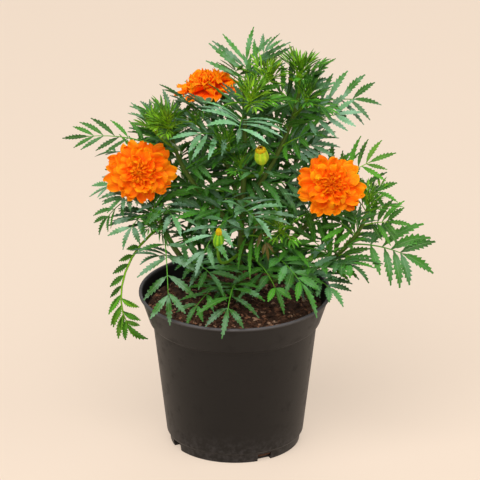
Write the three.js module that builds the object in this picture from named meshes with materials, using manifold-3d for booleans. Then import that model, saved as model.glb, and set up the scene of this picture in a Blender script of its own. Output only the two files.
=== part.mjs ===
// A potted French marigold: a tapered nursery pot, its soil, and one bushy plant of leafy stems
// with three double orange blooms and two buds. Millimetres, +Z up, the origin in the middle of
// the pot's flat underside, +X to the right and +Y away from whoever looks at its front.

import * as THREE from 'three';
import { mergeVertices } from 'three/addons/utils/BufferGeometryUtils.js';
import Module from 'manifold-3d';

const wasm = await Module();
wasm.setup();

// ---- Driving dimensions ----

const GAP = 0.3; // clearance where one piece meets another
const FINEST = 0.02; // slivers thinner than this are left out

const POT_HEIGHT = 125;
const POT_SIDES = 40;
const LIP_RADIUS = 75;
const LIP_THICKNESS = 2.5;
const BAND_TOP_RADIUS = 73.5;
const BAND_FOOT_RADIUS = 66.8;
const BAND_FOOT_HEIGHT = 102;
const WALL_TOP_RADIUS = 64;
const WALL_FOOT_RADIUS = 53.3;
const WALL_FOOT_HEIGHT = 8.8;
const BASE_RADIUS = 50.4;
const BASE_STEP_RADIUS = 51.4;
const BASE_STEP_HEIGHT = 7.2;
const WALL_THICKNESS = 1.5;
const FLOOR_THICKNESS = 2.2;
const NOTCH_WIDTH = 11.5;
const NOTCH_HEIGHT = 6;
const NOTCH_INNER_RADIUS = 46;
const NOTCH_FIRST_TURN = -63; // degrees from +X
const NOTCHES = 4;

const SOIL_EDGE_HEIGHT = 111.5;
const SOIL_CROWN = 5;
const SOIL_SIDES = 30;
const SOIL_RINGS = [0.88, 0.7, 0.52, 0.34, 0.16]; // shares of the soil's radius
// Crossed waves that make the soil lumpy: radians per millimetre in x and y, and their height.
const SOIL_WAVES = [
  { x: 0.19, y: 0.44, height: 0.55 },
  { x: 0.43, y: -0.1, height: 0.55 },
  { x: 0.53, y: -0.61, height: 0.77 },
];

const STEM_SIDES = 5;
const STEM_STEPS = 8;
const STALK_RADIUS = 1.6; // where a stalk enters its bud or calyx

const LEAF_THICKNESS = 0.7;
const RIB_HALF_WIDTH = 0.9;
const LEAFLET_WIDTH = 5.6;
const LEAFLET_ROOT = 1.1; // half of what a leaflet's root takes of the rib
const LEAFLET_FULL_REACH = 24; // shorter leaflets are narrower in step
const FIRST_LEAFLET = 0.3; // shares of the leaf's length
const LAST_LEAFLET = 0.74;
const FIRST_LEAFLET_TURN = 66; // degrees from the rib
const LAST_LEAFLET_TURN = 42;
const LEAFLET_RISE = 0.22; // how a leaflet lifts beside the rib, and how it sags further out
const LEAFLET_SAG = 0.011;
const GOLDEN_TURN = 137.5; // degrees from a leaf to the next one up the stem

const CALYX_RADIUS = 4.6;
const CALYX_LENGTH = 15;
const BLOOM_CORE_RADIUS = 6;
const BLOOM_BACK = 7; // from the bloom's middle back to the mouth of its calyx
const PETAL_THICKNESS = 0.8;
const PETAL_SHARE = 0.9; // of its ring's circle that a petal fills
const PETAL_CUT = 0.16; // of its length where a petal parts from the next
const PETAL_LIFT = 1.4;

// Rings of petals from the outside in: how many, how long, the tilt from the bloom's axis at the
// root and at the edge in degrees, and how far out and how high the ring leaves the core.
const PETAL_RINGS = [
  { count: 9, length: 23.5, start: 84, end: 99, root: 4.6, height: -3.4 },
  { count: 8, length: 20, start: 62, end: 80, root: 4.6, height: -1.6 },
  { count: 7, length: 15.5, start: 40, end: 62, root: 3.8, height: 0.2 },
  { count: 5, length: 11, start: 14, end: 40, root: 2.4, height: 1.8 },
];

const BLOOMS = {
  left: { middle: [-74, -10, 230.6], facing: [-0.1, -0.95, 0.3], seed: 11 },
  right: { middle: [74.6, -25, 226], facing: [0.05, -0.85, 0.5], seed: 23 },
  top: { middle: [-21, 20, 292], facing: [-0.12, 0.02, 0.99], seed: 37 },
};

// ---- Colours and finishes ----

const finish = (color, roughness) => new THREE.MeshStandardMaterial({ color, roughness, metalness: 0 });
const POT_FINISH = () => finish('#26221f', 0.62);
const SOIL_FINISH = () => finish('#4a2d20', 0.95);
const LEAF_FINISH = () => finish('#2f6b3a', 0.6);
const PETAL_FINISH = () => finish('#ff7a0a', 0.7);
const BUD_TIP_FINISH = () => finish('#f0b010', 0.6);

// ---- Solids and meshes ----

function solidOf(geometry) {
  geometry.deleteAttribute('normal');
  geometry.deleteAttribute('uv');
  const merged = mergeVertices(geometry, 1e-4);
  const index = merged.index.array;
  const corners = [];
  for (let i = 0; i < index.length; i += 3) {
    const [a, b, c] = [index[i], index[i + 1], index[i + 2]];
    if (a !== b && b !== c && c !== a) {
      corners.push(a, b, c);
    }
  }
  const mesh = new wasm.Mesh({
    numProp: 3,
    vertProperties: new Float32Array(merged.attributes.position.array),
    triVerts: new Uint32Array(corners),
  });
  return new wasm.Manifold(mesh);
}

function meshOf(name, solid, material) {
  const { vertProperties, triVerts } = solid.simplify(FINEST).getMesh();
  const geometry = new THREE.BufferGeometry();
  geometry.setAttribute('position', new THREE.BufferAttribute(vertProperties, 3));
  geometry.setIndex(new THREE.BufferAttribute(triVerts, 1));
  geometry.computeVertexNormals();
  const mesh = new THREE.Mesh(geometry, material);
  mesh.name = name;
  return mesh;
}

const joined = (solids) => solids.reduce((whole, solid) => whole.add(solid));
const radians = (degrees) => THREE.MathUtils.degToRad(degrees);
const between = (first, last, share) => first + (last - first) * share;

// Moves every vertex of a geometry by a rule from its flat place to its place in the object.
function reshape(geometry, rule) {
  const position = geometry.attributes.position;
  const point = new THREE.Vector3();
  for (let i = 0; i < position.count; i += 1) {
    point.fromBufferAttribute(position, i);
    const { x, y, z } = rule(point);
    position.setXYZ(i, x, y, z);
  }
  return geometry;
}

// A profile of [radius, height] pairs turned about +Z.
function turned(profile, sides) {
  const points = profile.map(([radius, height]) => new THREE.Vector2(radius, height));
  return new THREE.LatheGeometry(points, sides).rotateX(Math.PI / 2);
}

// A seeded draw between two values, so that the plant grows the same way every time.
function draws(seed) {
  let state = seed;
  return (low, high) => {
    state = (state * 16807) % 2147483647;
    return low + ((high - low) * state) / 2147483647;
  };
}

// ---- Pot ----

function potSolid() {
  const lipFoot = POT_HEIGHT - LIP_THICKNESS;
  const profile = [
    [0, 0],
    [BASE_RADIUS, 0],
    [BASE_STEP_RADIUS, BASE_STEP_HEIGHT],
    [WALL_FOOT_RADIUS, WALL_FOOT_HEIGHT],
    [WALL_TOP_RADIUS, BAND_FOOT_HEIGHT - 2.4],
    [BAND_FOOT_RADIUS, BAND_FOOT_HEIGHT],
    [BAND_TOP_RADIUS, lipFoot],
    [LIP_RADIUS, lipFoot + 0.6],
    [LIP_RADIUS, POT_HEIGHT - 0.6],
    [LIP_RADIUS - 0.8, POT_HEIGHT],
    [BAND_TOP_RADIUS - WALL_THICKNESS + 0.6, POT_HEIGHT],
    [BAND_FOOT_RADIUS - WALL_THICKNESS, BAND_FOOT_HEIGHT - 0.6],
    [WALL_TOP_RADIUS - WALL_THICKNESS, BAND_FOOT_HEIGHT - 3.2],
    [WALL_FOOT_RADIUS - WALL_THICKNESS, WALL_FOOT_HEIGHT + 0.4],
    [BASE_RADIUS - WALL_THICKNESS, FLOOR_THICKNESS],
    [0, FLOOR_THICKNESS],
  ];
  let pot = solidOf(turned(profile, POT_SIDES));
  const reach = 20;
  for (let i = 0; i < NOTCHES; i += 1) {
    const turn = radians(NOTCH_FIRST_TURN + (i * 360) / NOTCHES);
    const notch = new THREE.BoxGeometry(reach, NOTCH_WIDTH, 2 * NOTCH_HEIGHT);
    notch.translate(NOTCH_INNER_RADIUS + reach / 2, 0, 0).rotateZ(turn);
    pot = pot.subtract(solidOf(notch));
  }
  return pot;
}

// ---- Soil ----

function soilSolid() {
  const inside = (radius, height) => [radius - WALL_THICKNESS - GAP, height];
  const bandHeight = POT_HEIGHT - LIP_THICKNESS - BAND_FOOT_HEIGHT;
  const upBand = (SOIL_EDGE_HEIGHT - BAND_FOOT_HEIGHT) / bandHeight;
  const edge = BAND_FOOT_RADIUS - WALL_THICKNESS - GAP + upBand * (BAND_TOP_RADIUS - BAND_FOOT_RADIUS);
  const crown = (share) => SOIL_EDGE_HEIGHT + SOIL_CROWN * (1 - share * share);
  const profile = [
    [0, FLOOR_THICKNESS + GAP],
    inside(BASE_RADIUS, FLOOR_THICKNESS + GAP),
    inside(WALL_FOOT_RADIUS, WALL_FOOT_HEIGHT + 1),
    inside(WALL_TOP_RADIUS, BAND_FOOT_HEIGHT - 3),
    inside(BAND_FOOT_RADIUS, BAND_FOOT_HEIGHT),
    [edge, SOIL_EDGE_HEIGHT],
    ...SOIL_RINGS.map((share) => [edge * share, crown(share)]),
    [0, crown(0)],
  ];
  const lumpy = reshape(turned(profile, SOIL_SIDES), ({ x, y, z }) => {
    if (z <= SOIL_EDGE_HEIGHT) {
      return { x, y, z };
    }
    const bumps = SOIL_WAVES.map((wave) => wave.height * Math.sin(wave.x * x + wave.y * y));
    return { x, y, z: z + bumps.reduce((sum, bump) => sum + bump) };
  });
  return solidOf(lumpy);
}

// ---- Stems ----

const vector = (values) => new THREE.Vector3(...values);

function curveOf(route) {
  return new THREE.CubicBezierCurve3(...route.map(vector));
}

// A tapered stem along its curve. A grown stem is fatter all round and longer at its foot.
function stemSolid(curve, foot, tip, grown = 0) {
  const rod = new THREE.CylinderGeometry(tip + grown, foot + grown, 1, STEM_SIDES, STEM_STEPS);
  const frames = curve.computeFrenetFrames(STEM_STEPS, false);
  rod.translate(0, 0.5, 0);
  return solidOf(
    reshape(rod, ({ x, y, z }) => {
      const step = Math.round(y * STEM_STEPS);
      const point = curve.getPointAt(Math.min(step / STEM_STEPS, 1));
      const back = step === 0 ? -grown : 0;
      return point
        .addScaledVector(frames.normals[step], x)
        .addScaledVector(frames.binormals[step], -z)
        .addScaledVector(frames.tangents[step], back);
    }),
  );
}

// A cup or pod turned about an axis that starts at a point.
function podSolid(profile, start, axis, sides = 8) {
  const turn = new THREE.Quaternion().setFromUnitVectors(new THREE.Vector3(0, 0, 1), axis);
  const pod = turned(profile, sides).applyQuaternion(turn);
  return solidOf(pod.translate(start.x, start.y, start.z));
}

// ---- Leaves ----

// Half of a leaf's outline from its foot to its tip, x along the rib and y across it. Each side
// leaflet is a narrow blade that widens to a tooth on both edges, and the middle ones are longest.
function halfOutline(length, pairs, reach, toothed) {
  const points = [[0, RIB_HALF_WIDTH]];
  const lastRoot = LAST_LEAFLET * length;
  const wide = LEAFLET_WIDTH * Math.min(1, reach / LEAFLET_FULL_REACH);
  for (let i = 0; i < pairs; i += 1) {
    const share = i / (pairs - 1);
    const root = between(FIRST_LEAFLET, LAST_LEAFLET, share) * length;
    const angle = radians(between(FIRST_LEAFLET_TURN, LAST_LEAFLET_TURN, share));
    const blade = reach * (0.78 + 0.9 * share - share * share);
    const place = (along, across) => [
      root + along * blade * Math.cos(angle) - across * wide * Math.sin(angle),
      RIB_HALF_WIDTH + along * blade * Math.sin(angle) + across * wide * Math.cos(angle),
    ];
    points.push([root - LEAFLET_ROOT, RIB_HALF_WIDTH], place(0.46, 0.5));
    if (toothed) {
      points.push(place(0.56, 0.28));
    }
    points.push(place(1, 0));
    if (toothed) {
      points.push(place(0.64, -0.24));
    }
    points.push(place(0.54, -0.48), [root + LEAFLET_ROOT, RIB_HALF_WIDTH]);
  }
  const end = length - lastRoot;
  points.push([lastRoot + 0.45 * end, 0.42 * wide]);
  if (toothed) {
    points.push([lastRoot + 0.55 * end, 0.28 * wide], [lastRoot + 0.68 * end, 0.34 * wide]);
  }
  return points;
}

// A leaf from its base to its tip: one thin blade arched in the upright plane through both, with
// its leaflets lifted beside the rib and drooping at their ends.
function leafSolid({ base, tip, droop = 40, roll = 0, pairs = 4, reach = 28, toothed = false }) {
  const along = tip.clone().sub(base);
  const chord = along.length();
  const heading = new THREE.Vector3(along.x, along.y, 0).normalize();
  const pitch = Math.atan2(along.z, Math.hypot(along.x, along.y));
  const turn = radians(droop);
  const radius = chord / (2 * Math.sin(turn / 2));
  const length = radius * turn;
  const start = pitch + turn / 2;
  const side = new THREE.Vector3(-heading.y, heading.x, 0);
  const half = halfOutline(length, pairs, reach, toothed);
  const far = half.map(([x, y]) => [x, -y]).reverse();
  const outline = [...half, [length, 0], ...far].map(([x, y]) => new THREE.Vector2(x, y));
  const blade = new THREE.ExtrudeGeometry(new THREE.Shape(outline), {
    depth: LEAF_THICKNESS,
    bevelEnabled: false,
  });
  const lean = radians(roll);
  return solidOf(
    reshape(blade, ({ x, y, z }) => {
      const angle = start - x / radius;
      const forward = radius * (Math.sin(start) - Math.sin(angle));
      const up = radius * (Math.cos(angle) - Math.cos(start));
      const normal = heading.clone().multiplyScalar(-Math.sin(angle));
      normal.z = Math.cos(angle);
      const lift = z - LEAF_THICKNESS / 2 + LEAFLET_RISE * Math.abs(y) - LEAFLET_SAG * y * y;
      const place = base.clone().addScaledVector(heading, forward);
      place.z += up;
      place.addScaledVector(side, y * Math.cos(lean) - lift * Math.sin(lean));
      return place.addScaledVector(normal, lift * Math.cos(lean) + y * Math.sin(lean));
    }),
  );
}

// Leaves by rule along a stem: each a golden turn from the last, smaller and steeper to the top.
function fillLeaves(curve, rule) {
  const { from, to, count, long, short, seed, turn = 0, pairs = 3, pitch = [10, 50] } = rule;
  const draw = draws(seed);
  const leaves = [];
  for (let i = 0; i < count; i += 1) {
    const share = i / (count - 1);
    const base = curve.getPoint(between(from, to, share));
    const heading = radians(turn + GOLDEN_TURN * i + draw(-14, 14));
    const rise = radians(between(pitch[0], pitch[1], share) + draw(-8, 8));
    const chord = between(long, short, share) * draw(0.92, 1.08);
    const tip = new THREE.Vector3(
      base.x + chord * Math.cos(rise) * Math.cos(heading),
      base.y + chord * Math.cos(rise) * Math.sin(heading),
      base.z + chord * Math.sin(rise),
    );
    leaves.push({ base, tip, droop: between(46, 24, share), pairs, reach: 0.44 * chord });
  }
  return leaves;
}

// ---- Blooms ----

// A ring of petals in one thin plate, cut between the petals nearly to the core. It lies flat
// inside the core, curls up and outwards from there, and each petal has its own small lift.
function petalRing({ count, length, start, end, root, height }, turn, draw) {
  const first = radians(start);
  const curl = radians(end - start) / length;
  const half = Math.PI / count;
  const outline = [];
  const mark = (angle, share) => {
    const far = root + share * length;
    outline.push(new THREE.Vector2(far * Math.cos(angle), far * Math.sin(angle)));
  };
  const petals = [];
  for (let i = 0; i < count; i += 1) {
    const middle = turn + 2 * half * i;
    petals.push({ middle, lift: draw(-PETAL_LIFT, PETAL_LIFT), reach: draw(0.92, 1) });
    const { reach } = petals[i];
    mark(middle - half, PETAL_CUT);
    mark(middle - PETAL_SHARE * half, 0.8 * reach);
    mark(middle - 0.5 * half, reach);
    mark(middle, 0.93 * reach);
    mark(middle + 0.5 * half, reach);
    mark(middle + PETAL_SHARE * half, 0.8 * reach);
  }
  const plate = new THREE.ExtrudeGeometry(new THREE.Shape(outline), {
    depth: PETAL_THICKNESS,
    bevelEnabled: false,
  });
  return reshape(plate, ({ x, y, z }) => {
    const out = Math.max(Math.hypot(x, y) - root, 0);
    const tilt = first + curl * out;
    const angle = Math.atan2(y, x);
    const petal = petals[Math.round(((angle - turn) / (2 * half) + count) % count) % count];
    const thick = z - PETAL_THICKNESS / 2;
    const lift = thick + petal.lift * (out / length) ** 2;
    const radial = root + (Math.cos(first) - Math.cos(tilt)) / curl - lift * Math.cos(tilt);
    const up = height + (Math.sin(tilt) - Math.sin(first)) / curl + lift * Math.sin(tilt);
    return new THREE.Vector3(radial * Math.cos(angle), radial * Math.sin(angle), up);
  });
}

function bloomSolid({ middle, facing, seed }) {
  const draw = draws(seed);
  const back = -BLOOM_BACK + GAP;
  const core = turned(
    [
      [0, back],
      [0.8 * CALYX_RADIUS, back],
      [BLOOM_CORE_RADIUS, 0.7 * back],
      [0.8 * BLOOM_CORE_RADIUS, 2],
      [0, 5],
    ],
    8,
  );
  const rings = PETAL_RINGS.map((ring, layer) => petalRing(ring, (layer * Math.PI) / ring.count, draw));
  const axis = vector(facing).normalize();
  const lean = new THREE.Quaternion().setFromUnitVectors(new THREE.Vector3(0, 0, 1), axis);
  const placed = [core, ...rings].map((piece) => piece.applyQuaternion(lean).translate(...middle));
  return joined(placed.map(solidOf));
}

// The green cup behind a bloom, from the end of its stalk to its mouth.
function calyxSolid({ middle, facing }) {
  const axis = vector(facing).normalize();
  const start = vector(middle).addScaledVector(axis, -BLOOM_BACK - CALYX_LENGTH);
  const profile = [
    [0, -1],
    [STALK_RADIUS, -1],
    [CALYX_RADIUS, 0.4 * CALYX_LENGTH],
    [CALYX_RADIUS, CALYX_LENGTH],
    [0, CALYX_LENGTH],
  ];
  return podSolid(profile, start, axis);
}

// The end of a flower's stalk: the foot of its calyx, met along the bloom's axis.
function stalkEnd({ middle, facing }, run) {
  const axis = vector(facing).normalize();
  const end = vector(middle).addScaledVector(axis, -BLOOM_BACK - CALYX_LENGTH);
  return [end.clone().addScaledVector(axis, -run).toArray(), end.toArray()];
}

// ---- Buds ----

// A bud stands on the end of its stalk: a green cup, closed by the tips of its petals.
function budFrame(curve) {
  return { start: curve.getPoint(1), axis: curve.getTangent(1).normalize() };
}

function budCup(curve, { radius, length }) {
  const { start, axis } = budFrame(curve);
  const profile = [
    [0, -1],
    [STALK_RADIUS, -1],
    [0.86 * radius, 0.25 * length],
    [radius, 0.55 * length],
    [0.7 * radius, length],
    [0, length],
  ];
  return podSolid(profile, start, axis);
}

function budTip(curve, { radius, length }) {
  const { start, axis } = budFrame(curve);
  const profile = [
    [0, length + GAP],
    [0.62 * radius, length + GAP],
    [0.5 * radius, length + 2.2],
    [0, length + 3.6],
  ];
  return podSolid(profile, start, axis);
}

// ---- The plant: its leafy stems, each with the stem that bears it ----

const STEMS = {
  leader: {
    route: [[2, 4, 80], [2, 4, 150], [10, -4, 230], [7, 4, 296]],
    foot: 3,
    tip: 1.6,
    leaves: [
      { at: 0.97, tip: [12, 45, 328], droop: 30, reach: 34 },
      { at: 0.84, tip: [1, -62, 272], droop: 62, reach: 34, toothed: true },
      { at: 0.78, tip: [-50, -25, 263], droop: 40, reach: 26 },
      { at: 0.62, tip: [26, -62, 198], droop: 70, reach: 32 },
      { at: 0.2, tip: [-8, -83, 121], droop: 98, reach: 32, toothed: true },
      { at: 0.99, tip: [37, 10, 333], droop: 20, pairs: 3, reach: 20 },
      { at: 0.98, tip: [-6, -16, 325], droop: 24, pairs: 3, reach: 18 },
    ],
    fill: [
      { from: 0.3, to: 0.8, count: 5, long: 62, short: 52, seed: 1, turn: 140 },
      { from: 0.22, to: 0.3, count: 2, long: 46, short: 46, seed: 2, turn: 260, pairs: 2, pitch: [10, 20] },
    ],
  },
  left_flower: {
    bearer: 'leader',
    route: [[2, 3, 126], [-58, -5, 132], ...stalkEnd(BLOOMS.left, 20)],
    foot: 2.5,
    tip: 1.4,
    bloom: 'left',
    leaves: [
      { at: 0.3, tip: [-8, -45, 141], droop: 60, reach: 30 },
      { at: 0.5, tip: [-51, -66, 124], droop: 100, reach: 28 },
      { at: 0.5, tip: [-72, 2, 80], droop: 130, roll: -20, pairs: 5, reach: 16 },
      { at: 0.7, tip: [-106, -5, 174], droop: 80, reach: 20 },
      { at: 0.66, tip: [-40, -35, 186], droop: 50, reach: 28 },
      { at: 0.85, tip: [-113, 8, 200], droop: 30, pairs: 3, reach: 22 },
    ],
    fill: [{ from: 0.3, to: 0.8, count: 2, long: 50, short: 46, seed: 6, turn: 240 }],
  },
  right_flower: {
    bearer: 'leader',
    route: [[5, 2.5, 150], [50, 8, 150], ...stalkEnd(BLOOMS.right, 22)],
    foot: 2.4,
    tip: 1.4,
    bloom: 'right',
    leaves: [
      { at: 0.92, tip: [125, 0, 240], droop: 40, roll: 40, reach: 26 },
      { at: 0.86, tip: [127, -5, 203], droop: 50, roll: 35, pairs: 3, reach: 22 },
    ],
    fill: [{ from: 0.4, to: 0.7, count: 2, long: 56, short: 50, seed: 5, turn: 80 }],
  },
  top_flower: {
    bearer: 'leader',
    route: [[5, 1.8, 190], [-2, 14, 220], ...stalkEnd(BLOOMS.top, 20)],
    foot: 2,
    tip: 1.4,
    bloom: 'top',
    leaves: [
      { at: 0.7, tip: [-56, -18, 303], droop: 30, reach: 22 },
      { at: 0.5, tip: [-60, 30, 262], droop: 50, reach: 26 },
      { at: 0.65, tip: [-25, 75, 275], droop: 50, reach: 28 },
    ],
  },
  upper_right: {
    bearer: 'leader',
    route: [[7, 0.5, 197], [25, 0, 222], [45, 8, 255], [50, 10, 290]],
    foot: 2.2,
    tip: 1.4,
    leaves: [
      { at: 0.85, tip: [114, 15, 276], droop: 40, roll: 40, reach: 28 },
      { at: 0.7, tip: [99, -5, 277], droop: 24, roll: 35, reach: 26 },
      { at: 0.5, tip: [82, 12, 242], droop: 30, roll: 25, reach: 26 },
      { at: 0.97, tip: [41, 12, 327], droop: 20, pairs: 2, reach: 14 },
      { at: 0.99, tip: [55, 4, 322], droop: 20, pairs: 2, reach: 14 },
      { at: 0.98, tip: [78, 12, 315], droop: 24, pairs: 3, reach: 18 },
      { at: 0.6, tip: [70, 62, 285], droop: 50, reach: 28 },
    ],
    fill: [{ from: 0.3, to: 0.8, count: 2, long: 48, short: 44, seed: 7, turn: 260 }],
  },
  upper_left: {
    bearer: 'leader',
    route: [[4, 1, 176], [-20, 5, 195], [-45, 5, 222], [-50, 0, 262]],
    foot: 2.2,
    tip: 1.3,
    leaves: [
      { at: 0.8, tip: [-134, 22, 242], droop: 44, roll: -60, pairs: 5, reach: 26 },
      { at: 0.6, tip: [-110, 28, 227], droop: 60, pairs: 3, reach: 16 },
      { at: 0.97, tip: [-78, 2, 280], droop: 24, pairs: 3, reach: 16 },
      { at: 0.98, tip: [-40, -18, 284], droop: 30, pairs: 2, reach: 14 },
      { at: 0.7, tip: [-75, 55, 262], droop: 50, reach: 26 },
    ],
    fill: [{ from: 0.35, to: 0.85, count: 2, long: 50, short: 44, seed: 9, turn: 340 }],
  },
  low_right: {
    bearer: 'leader',
    route: [[4.5, 2.3, 130], [40, -14, 138], [85, -14, 150], [101, -10, 190]],
    foot: 2.4,
    tip: 1.3,
    leaves: [
      { at: 0.8, tip: [154, -20, 148], droop: 50, roll: 50, reach: 30, toothed: true },
      { at: 0.95, tip: [137, -15, 186], droop: 40, roll: 50, reach: 22 },
      { at: 0.42, tip: [85, -50, 158], droop: 50, reach: 26 },
      { at: 0.35, tip: [65, -66, 130], droop: 70, reach: 26 },
      { at: 0.6, tip: [104, -46, 152], droop: 70, reach: 26 },
      { at: 0.99, tip: [118, 8, 218], droop: 20, pairs: 2, reach: 12 },
    ],
    fill: [{ from: 0.3, to: 0.9, count: 2, long: 50, short: 46, seed: 10, turn: 120 }],
  },
  front_bud: {
    bearer: 'leader',
    route: [[7.5, 0, 222], [20, -4, 224], [22, -22, 232], [21, -25, 243]],
    foot: 1.6,
    tip: 1.2,
    bud: { radius: 5.2, length: 12 },
    leaves: [],
  },
  low_bud: {
    bearer: 'leader',
    route: [[3.8, 1, 156], [-4, -22, 160], [-14, -46, 160], [-13, -50, 183]],
    foot: 1.6,
    tip: 1.2,
    bud: { radius: 4.4, length: 13 },
    leaves: [],
  },
  back_left: {
    bearer: 'leader',
    route: [[2.5, 3.5, 140], [-20, 25, 150], [-48, 45, 180], [-52, 50, 222]],
    foot: 2.2,
    tip: 1.3,
    leaves: [],
    fill: [{ from: 0.4, to: 0.95, count: 4, long: 66, short: 52, seed: 9, turn: 96 }],
  },
  back_right: {
    bearer: 'leader',
    route: [[4.8, 3, 158], [25, 25, 165], [50, 50, 195], [52, 52, 240]],
    foot: 2.2,
    tip: 1.3,
    leaves: [],
    fill: [{ from: 0.4, to: 0.95, count: 4, long: 66, short: 52, seed: 6, turn: 20 }],
  },
};

// ---- The whole plant in its pot ----

// The solid of a leafy stem: the stem, its leaves, and the cup of its bloom or bud.
function leafySolid(stem) {
  const curve = curveOf(stem.route);
  const leaves = stem.leaves.map(({ at, tip, ...rest }) => ({
    base: curve.getPoint(at),
    tip: vector(tip),
    ...rest,
  }));
  for (const rule of stem.fill ?? []) {
    leaves.push(...fillLeaves(curve, rule));
  }
  const pieces = [stemSolid(curve, stem.foot, stem.tip), ...leaves.map(leafSolid)];
  if (stem.bloom) {
    pieces.push(calyxSolid(BLOOMS[stem.bloom]));
  }
  if (stem.bud) {
    pieces.push(budCup(curve, stem.bud));
  }
  return joined(pieces);
}

// The stem that another one springs from, grown by the gap that its branches stand off.
function socketOf(name) {
  const { route, foot, tip } = STEMS[name];
  return stemSolid(curveOf(route), foot, tip, GAP);
}

const potted = new THREE.Group();
potted.add(meshOf('pot', potSolid(), POT_FINISH()));
potted.add(meshOf('soil', soilSolid().subtract(socketOf('leader')), SOIL_FINISH()));
for (const [name, stem] of Object.entries(STEMS)) {
  const whole = leafySolid(stem);
  const solid = stem.bearer ? whole.subtract(socketOf(stem.bearer)) : whole;
  potted.add(meshOf(`stem_${name}`, solid, LEAF_FINISH()));
  if (stem.bud) {
    potted.add(meshOf(`tip_${name}`, budTip(curveOf(stem.route), stem.bud), BUD_TIP_FINISH()));
  }
}
for (const [name, bloom] of Object.entries(BLOOMS)) {
  potted.add(meshOf(`bloom_${name}`, bloomSolid(bloom), PETAL_FINISH()));
}

export default potted;
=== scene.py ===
"""A potted French marigold: a dark nursery pot, its soil of bark and peat, and one bushy plant with
feathery leaves, three double orange blooms and two buds. It is laid out as an add-on and run as a
script. The plant's tables are in millimetres, as in its solids, and MM takes them to metres."""

import math
from dataclasses import dataclass, field, replace

import bmesh
import bpy
from bpy.props import FloatProperty, FloatVectorProperty, IntProperty, PointerProperty
from mathutils import Matrix, Vector


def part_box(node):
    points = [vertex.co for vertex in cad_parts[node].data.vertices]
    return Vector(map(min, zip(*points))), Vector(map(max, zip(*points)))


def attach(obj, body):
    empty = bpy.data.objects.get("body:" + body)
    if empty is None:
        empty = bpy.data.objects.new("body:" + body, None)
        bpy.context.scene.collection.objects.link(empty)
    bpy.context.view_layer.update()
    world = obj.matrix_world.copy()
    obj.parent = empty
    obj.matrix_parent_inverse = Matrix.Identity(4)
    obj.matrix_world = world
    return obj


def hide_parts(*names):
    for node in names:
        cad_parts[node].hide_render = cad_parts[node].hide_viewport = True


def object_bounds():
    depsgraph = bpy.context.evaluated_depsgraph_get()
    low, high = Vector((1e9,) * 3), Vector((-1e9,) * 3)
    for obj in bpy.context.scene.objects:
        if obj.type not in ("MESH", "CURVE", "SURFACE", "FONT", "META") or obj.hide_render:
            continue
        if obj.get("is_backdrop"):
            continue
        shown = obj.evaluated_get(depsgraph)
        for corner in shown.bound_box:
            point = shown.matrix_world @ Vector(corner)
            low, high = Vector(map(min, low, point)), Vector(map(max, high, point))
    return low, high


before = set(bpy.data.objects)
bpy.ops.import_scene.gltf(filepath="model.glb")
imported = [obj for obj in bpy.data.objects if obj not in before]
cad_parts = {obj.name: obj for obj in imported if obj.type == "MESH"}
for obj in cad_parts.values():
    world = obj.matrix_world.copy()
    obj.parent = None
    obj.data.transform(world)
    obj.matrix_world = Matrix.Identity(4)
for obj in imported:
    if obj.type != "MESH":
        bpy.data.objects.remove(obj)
CAD_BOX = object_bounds()

bl_info = {
    "name": "Potted French Marigold",
    "version": (1, 0, 0),
    "blender": (4, 5, 0),
    "location": "View3D > Sidebar > Marigold",
    "description": "Builds a potted French marigold in bloom",
    "category": "Add Mesh",
}

MM = 0.001
UP = Vector((0, 0, 1))
POT_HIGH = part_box("pot")[1]


# ---- What a user may change ----


def length(name, description, default):
    return FloatProperty(name=name, description=description, default=default, unit="LENGTH")


def colour(name, description, default):
    return FloatVectorProperty(name=name, description=description, default=default, subtype="COLOR")


class PotSettings(bpy.types.PropertyGroup):
    """The nursery pot."""

    lip_radius: length("Lip radius", "Half of the pot's width across its lip", POT_HIGH.x)
    height: length("Height", "From the flat underside to the top of the lip", POT_HIGH.z)
    wall: length("Wall", "Thickness of the moulded wall", 1.5 * MM)
    plastic: colour("Plastic", "Colour of the recycled plastic", (0.0052, 0.0043, 0.0040))


class SoilSettings(bpy.types.PropertyGroup):
    """The potting mix."""

    chips: IntProperty(
        name="Chips", description="Pieces of bark and peat that lie on top", default=1500
    )
    chip_size: length("Chip size", "Length of the largest pieces of bark", 5.2 * MM)
    bark: colour("Bark", "Colour of the bark where it is lit", (0.195, 0.086, 0.045))


class FoliageSettings(bpy.types.PropertyGroup):
    """Leaves and stems."""

    leaflet_width: length("Leaflet width", "Width of a grown leaflet between its teeth", 4.7 * MM)
    young: colour("Young leaf", "Colour of the newest leaves in a shoot", (0.24, 0.46, 0.006))
    fresh: colour("Fresh leaf", "Colour of a leaf that still grows", (0.056, 0.230, 0.010))
    grown: colour("Grown leaf", "Colour of a full-grown leaf", (0.031, 0.144, 0.010))
    pale: colour("Pale leaf", "Colour of a leaf that light made bluish", (0.118, 0.300, 0.128))
    stalk: colour("Stem", "Colour of the stems", (0.090, 0.148, 0.020))


class BloomSettings(bpy.types.PropertyGroup):
    """Blooms and buds."""

    petal: colour("Petal", "Colour of a petal towards its edge", (1.0, 0.325, 0.001))
    throat: colour("Throat", "Colour of a petal towards its root", (0.92, 0.050, 0.0003))
    ruffle: FloatProperty(
        name="Ruffle",
        description="Share of the full waviness of the petals' edges",
        default=1.0,
        min=0.0,
        max=2.0,
    )
    tip: colour("Bud tip", "Colour of the petals that close a bud", (0.88, 0.52, 0.010))


class StageSettings(bpy.types.PropertyGroup):
    """The floor, the light and the camera."""

    floor: colour("Floor", "Colour of the pale floor", (0.748, 0.619, 0.504))
    light: FloatProperty(
        name="Light", description="Share of the studio's full light", default=1.0, min=0.0
    )
    elevation: FloatProperty(
        name="Elevation",
        description="How far the camera looks down",
        default=math.radians(23.5),
        subtype="ANGLE",
    )


# ---- Materials: a socket with arithmetic, and one method that adds a node ----

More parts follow.
